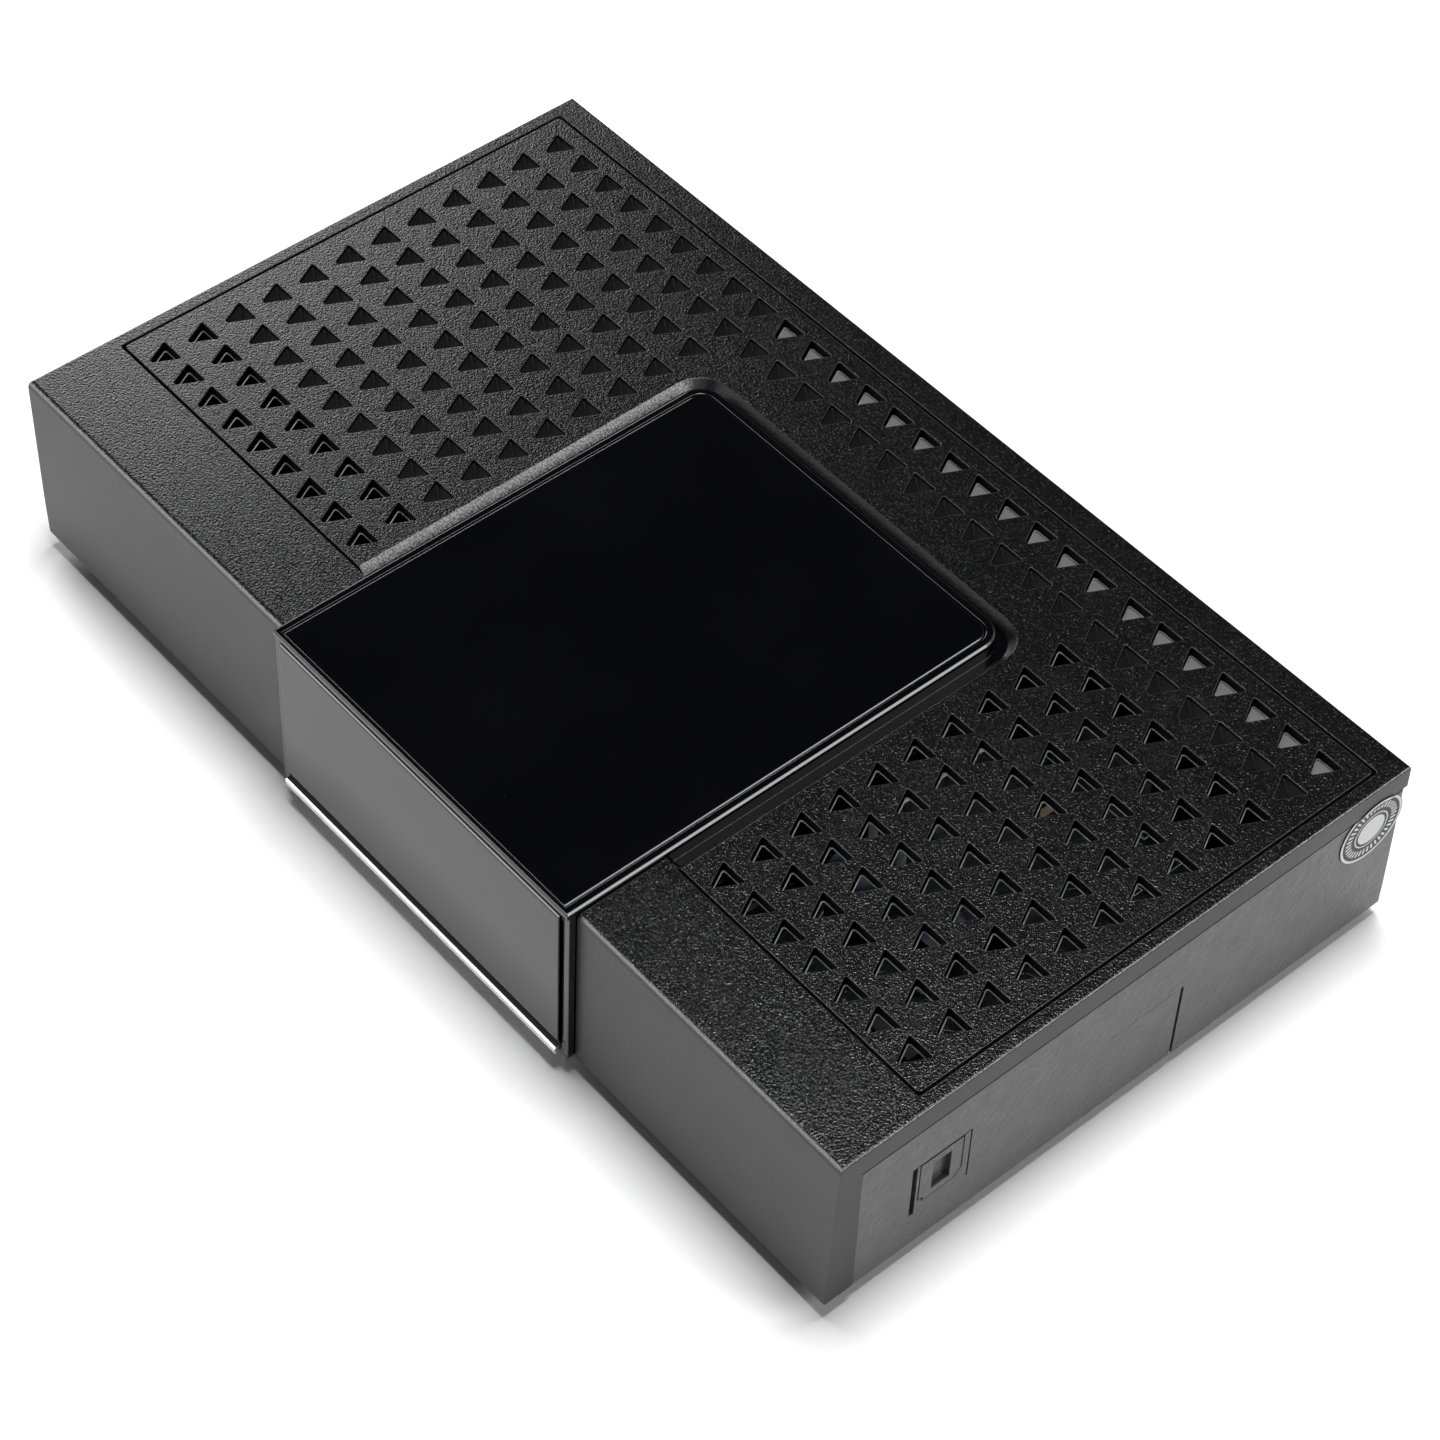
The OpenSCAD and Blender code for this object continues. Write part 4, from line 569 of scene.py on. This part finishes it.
def outline(bm, x, y, w, d, t=0.14):
    """A printed rectangle of lines t wide."""
    x0, x1, y0, y1 = x - w / 2, x + w / 2, y - d / 2, y + d / 2
    for a0, a1, b0, b1 in ((x0, x1, y0, y0 + t), (x0, x1, y1 - t, y1),
                           (x0, x0 + t, y0 + t, y1 - t), (x1 - t, x1, y0 + t, y1 - t)):
        box(bm, a0, a1, b0, b1, BOARD_TOP, PRINT_Z)


def circle(bm, x, y, r, t=0.16, n=40):
    """A printed circle of a line t wide, from n pieces."""
    turns = [2 * math.pi * i / n for i in range(n)]
    loops = []
    for rr, z in ((r, BOARD_TOP), (r, PRINT_Z), (r - t, PRINT_Z), (r - t, BOARD_TOP)):
        loops.append([bm.verts.new(at(x + rr * math.cos(turn), y + rr * math.sin(turn), z))
                      for turn in turns])
    for a, b in zip(loops, loops[1:] + loops[:1]):
        bridge(bm, a, b)


def build_marks(bm):
    for x, y, w, d in marks:
        outline(bm, x, y, w, d)
    for x, y, r in ROUNDS:
        circle(bm, x, y, r + 0.8)
    for name in ("heat_sink", "flash_chip", "crystal_can", "tuner_can"):
        x0, x1, y0, y1, _, _ = case_box(name)
        outline(bm, (x0 + x1) / 2, (y0 + y1) / 2, x1 - x0 + 1.6, y1 - y0 + 1.6, 0.2)


white = surface("print_white", (0.72, 0.72, 0.7), 0.5, mottle=0.08, grain=FINE, wear=0.0)
ceramic = surface("ceramic_tan", (0.34, 0.25, 0.16), 0.5, mottle=0.15, grain=FINE)
solder = surface("solder", (0.7, 0.71, 0.72), 0.3, metal=1.0, mottle=0.1,
                 grain=((1400.0, 0.00003),))
piece("resistors", finishes["chip_black"], build_chips(False))
piece("ceramic_capacitors", ceramic, build_chips(True))
piece("solder_ends", solder, build_ends)
piece("board_print", white, build_marks)


def solid_spans(name):
    """x0, x1, y0, y1 in case mm of each separate solid of a node."""
    data = nodes[name].data
    root = {}

    def key(i):
        return tuple(round(c * 1e6) for c in data.vertices[i].co)

    def top(k):
        while root.setdefault(k, k) != k:
            k = root[k]
        return k

    for p in data.polygons:
        for i in p.vertices[1:]:
            root[top(key(i))] = top(key(p.vertices[0]))
    spans = {}
    for i, v in enumerate(data.vertices):
        x, y = v.co.x * 1000, v.co.y * 1000 + MID_Y
        s = spans.setdefault(top(key(i)), [x, x, y, y])
        s[:] = min(s[0], x), max(s[1], x), min(s[2], y), max(s[3], y)
    return sorted(spans.values())


# Gull-wing legs: their pitch and half width, and the shoulder, drop and foot of each by how far
# they start and end from the chip and by their bottom and top above the board
PITCH = 0.8
HALF_LEG = 0.15
LEG_BARS = ((0.0, 0.45, 0.5, 0.65), (0.35, 0.5, 0.0, 0.62), (0.4, 0.9, 0.0, 0.14))


def build_legs(bm):
    """Legs along the long sides of the memory and flash chips."""
    for x0, x1, y0, y1 in solid_spans("memory_chips") + solid_spans("flash_chip"):
        n = int((x1 - x0 - PITCH) / PITCH)
        for i in range(n + 1):
            x = (x0 + x1) / 2 + (i - n / 2) * PITCH
            for y, s in ((y0, -1), (y1, 1)):
                for start, end, bottom, top in LEG_BARS:
                    a, b = sorted((y + s * start, y + s * end))
                    box(bm, x - HALF_LEG, x + HALF_LEG, a, b, BOARD_TOP + bottom, BOARD_TOP + top)


piece("chip_legs", solder, build_legs)

# Section of the lip of a vent: share of the outline's size, and height above the grille's underside
LIP = ((1.0, 0.00012), (0.89, 0.00008), (0.89, 0.0))
# No vent is longer than this, in metres
LONGEST = 0.006


def build_vent_lips(bm):
    """Thin moulding lip round the lower edge of each open vent, from the grille's own outline;
    coloured pale as a painted highlight along the vents' lower edges.
    """
    grid = bmesh.new()
    grid.from_mesh(nodes["vent_grille"].data)
    bmesh.ops.remove_doubles(grid, verts=list(grid.verts), dist=1e-6)
    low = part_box("vent_grille")[0].z
    near = {}
    for e in grid.edges:
        if len(e.link_faces) == 2 and all(abs(v.co.z - low) < 1e-6 for v in e.verts):
            flat = [abs(f.normal.z) > 0.9 for f in e.link_faces]
            if flat[0] != flat[1]:
                a, b = e.verts
                near.setdefault(a, []).append(b)
                near.setdefault(b, []).append(a)
    left = dict.fromkeys(near)
    while left:
        here = next(iter(left))
        loop = []
        while here is not None:
            del left[here]
            loop.append(here)
            here = next((v for v in near[here] if v in left), None)
        if len(loop) < 3 or max((v.co - loop[0].co).length for v in loop) > LONGEST:
            continue
        mid = sum((v.co for v in loop), Vector()) / len(loop)
        rows = [[bm.verts.new((mid.x + (v.co.x - mid.x) * share, mid.y + (v.co.y - mid.y) * share,
                               low + lift)) for v in loop] for share, lift in LIP]
        for a, b in zip(rows, rows[1:] + rows[:1]):
            bridge(bm, a, b)
    grid.free()
    bmesh.ops.recalc_face_normals(bm, faces=list(bm.faces))


# Pale grey: a painted highlight for the bright line along each vent's lower edge
lip_painted_highlight = surface("vent_lip", (0.36, 0.36, 0.36), 0.4, mottle=0.5, mottle_scale=700.0, grain=FINE,
                   wear=0.0)
piece("vent_lips", lip_painted_highlight, build_vent_lips)


def build_flange(bm):
    """Top flange of the rear shield, under the last row of vents."""
    x0, x1, _, _, z0, _ = case_box("vent_grille")
    box(bm, x0 + 1.8, x1 - 1.8, 83.2, 89.2, 28.8, z0 - 0.06, 0.05)


zinc = surface("dull_zinc", (0.14, 0.14, 0.144), 0.5, mottle=0.08, grain=FINE, wear=0.0)
piece("shield_flange", zinc, build_flange)

FLOOR_HALF = 3.0
# What the camera sees of the floor: its tone in the middle, and the radius over which it grows
FLOOR_TONE = 1.1
FLOOR_REACH = 1.1


def floor_material():
    """Pale floor. What the camera sees of it grows paler outwards, as the lamps' light fades."""
    m = bpy.data.materials.new("floor")
    m.use_nodes = True
    net = Net(m.node_tree)
    out = net.new("ShaderNodeOutputMaterial")
    diffuse = net.new("ShaderNodeBsdfDiffuse")
    ray = net.new("ShaderNodeLightPath").outputs
    middle = net.new("ShaderNodeTexCoord").outputs["Object"]
    away = net.fill(net.new("ShaderNodeVectorMath", operation="LENGTH"), middle).outputs["Value"]
    seen = net.span(away, 0.0, FLOOR_HALF, 0.0, FLOOR_HALF / FLOOR_REACH)
    for op, value in (("POWER", 2.0), ("ADD", 1.0), ("POWER", 2.0), ("MULTIPLY", FLOOR_TONE)):
        seen = net.math(op, seen, value)
    mirrored = net.most(ray["Is Glossy Ray"], ray["Is Transmission Ray"])
    tone = net.mix(mirrored, (0.75, 0.75, 0.75), (1.18, 1.18, 1.18))
    net.put(diffuse.inputs["Color"], net.mix(ray["Is Camera Ray"], tone, seen))
    net.put(out.inputs["Surface"], diffuse.outputs[0])
    return m


bm = bmesh.new()
bmesh.ops.create_grid(bm, x_segments=1, y_segments=1, size=FLOOR_HALF)
mesh = bpy.data.meshes.new("floor")
bm.to_mesh(mesh)
bm.free()
floor = add("floor", mesh)
mesh.materials.append(floor_material())

# The room: white to the camera, faint to diffuse rays. Reflections see it pale, dark only towards
# the back left and up, with a soft bright patch for each kind of slanted edge.
world = bpy.data.worlds.new("studio")
bpy.context.scene.world = world
world.use_nodes = True
sky = Net(world.node_tree)
back = sky.new("ShaderNodeBackground")
ray = sky.new("ShaderNodeLightPath").outputs
way = sky.new("ShaderNodeTexCoord").outputs["Generated"]
room = sky.span(sky.dot(way, (-0.52, 0.43, 0.738)), 0.35, 0.85, 0.95, 0.03, smooth=True)
for aim, strength in (((-0.496, -0.755, 0.43), 6.0), ((0.754, 0.43, 0.496), 3.0)):
    patch = sky.span(sky.dot(way, aim), 0.86, 0.97, 0.0, strength, smooth=True)
    room = sky.math("ADD", room, patch)
mirrored = sky.times(sky.most(ray["Is Glossy Ray"], ray["Is Transmission Ray"]), room)
unseen = sky.math("ADD", mirrored, sky.times(ray["Is Diffuse Ray"], 0.05))
sky.fill(back, (1.0, 1.0, 1.0, 1.0), sky.most(ray["Is Camera Ray"], unseen))
sky.fill(sky.new("ShaderNodeOutputWorld"), back.outputs[0])


def lamp(name, spot, aim, size_x, size_y, watts):
    data = bpy.data.lights.new(name, "AREA")
    data.shape = "RECTANGLE"
    data.size, data.size_y = size_x, size_y
    data.energy = watts
    obj = add(name, data)
    obj.location = spot
    obj.rotation_euler = (Vector(aim) - Vector(spot)).to_track_quat("-Z", "Y").to_euler()


lamp("key", (0.0, 0.09, 1.1), (0, 0, 0), 0.38, 0.38, 11.2)
lamp("side", (-0.53, 0.17, 0.27), (-0.03, 0.0, 0.03), 0.28, 0.24, 1.4)
lamp("rim", (0.62, 0.36, 0.43), (0.0, 0.0, 0.03), 0.28, 0.28, 1.5)
lamp("brow", (-0.4, -0.6, 0.36), (0.0, 0.0, 0.03), 0.24, 0.24, 0.2)
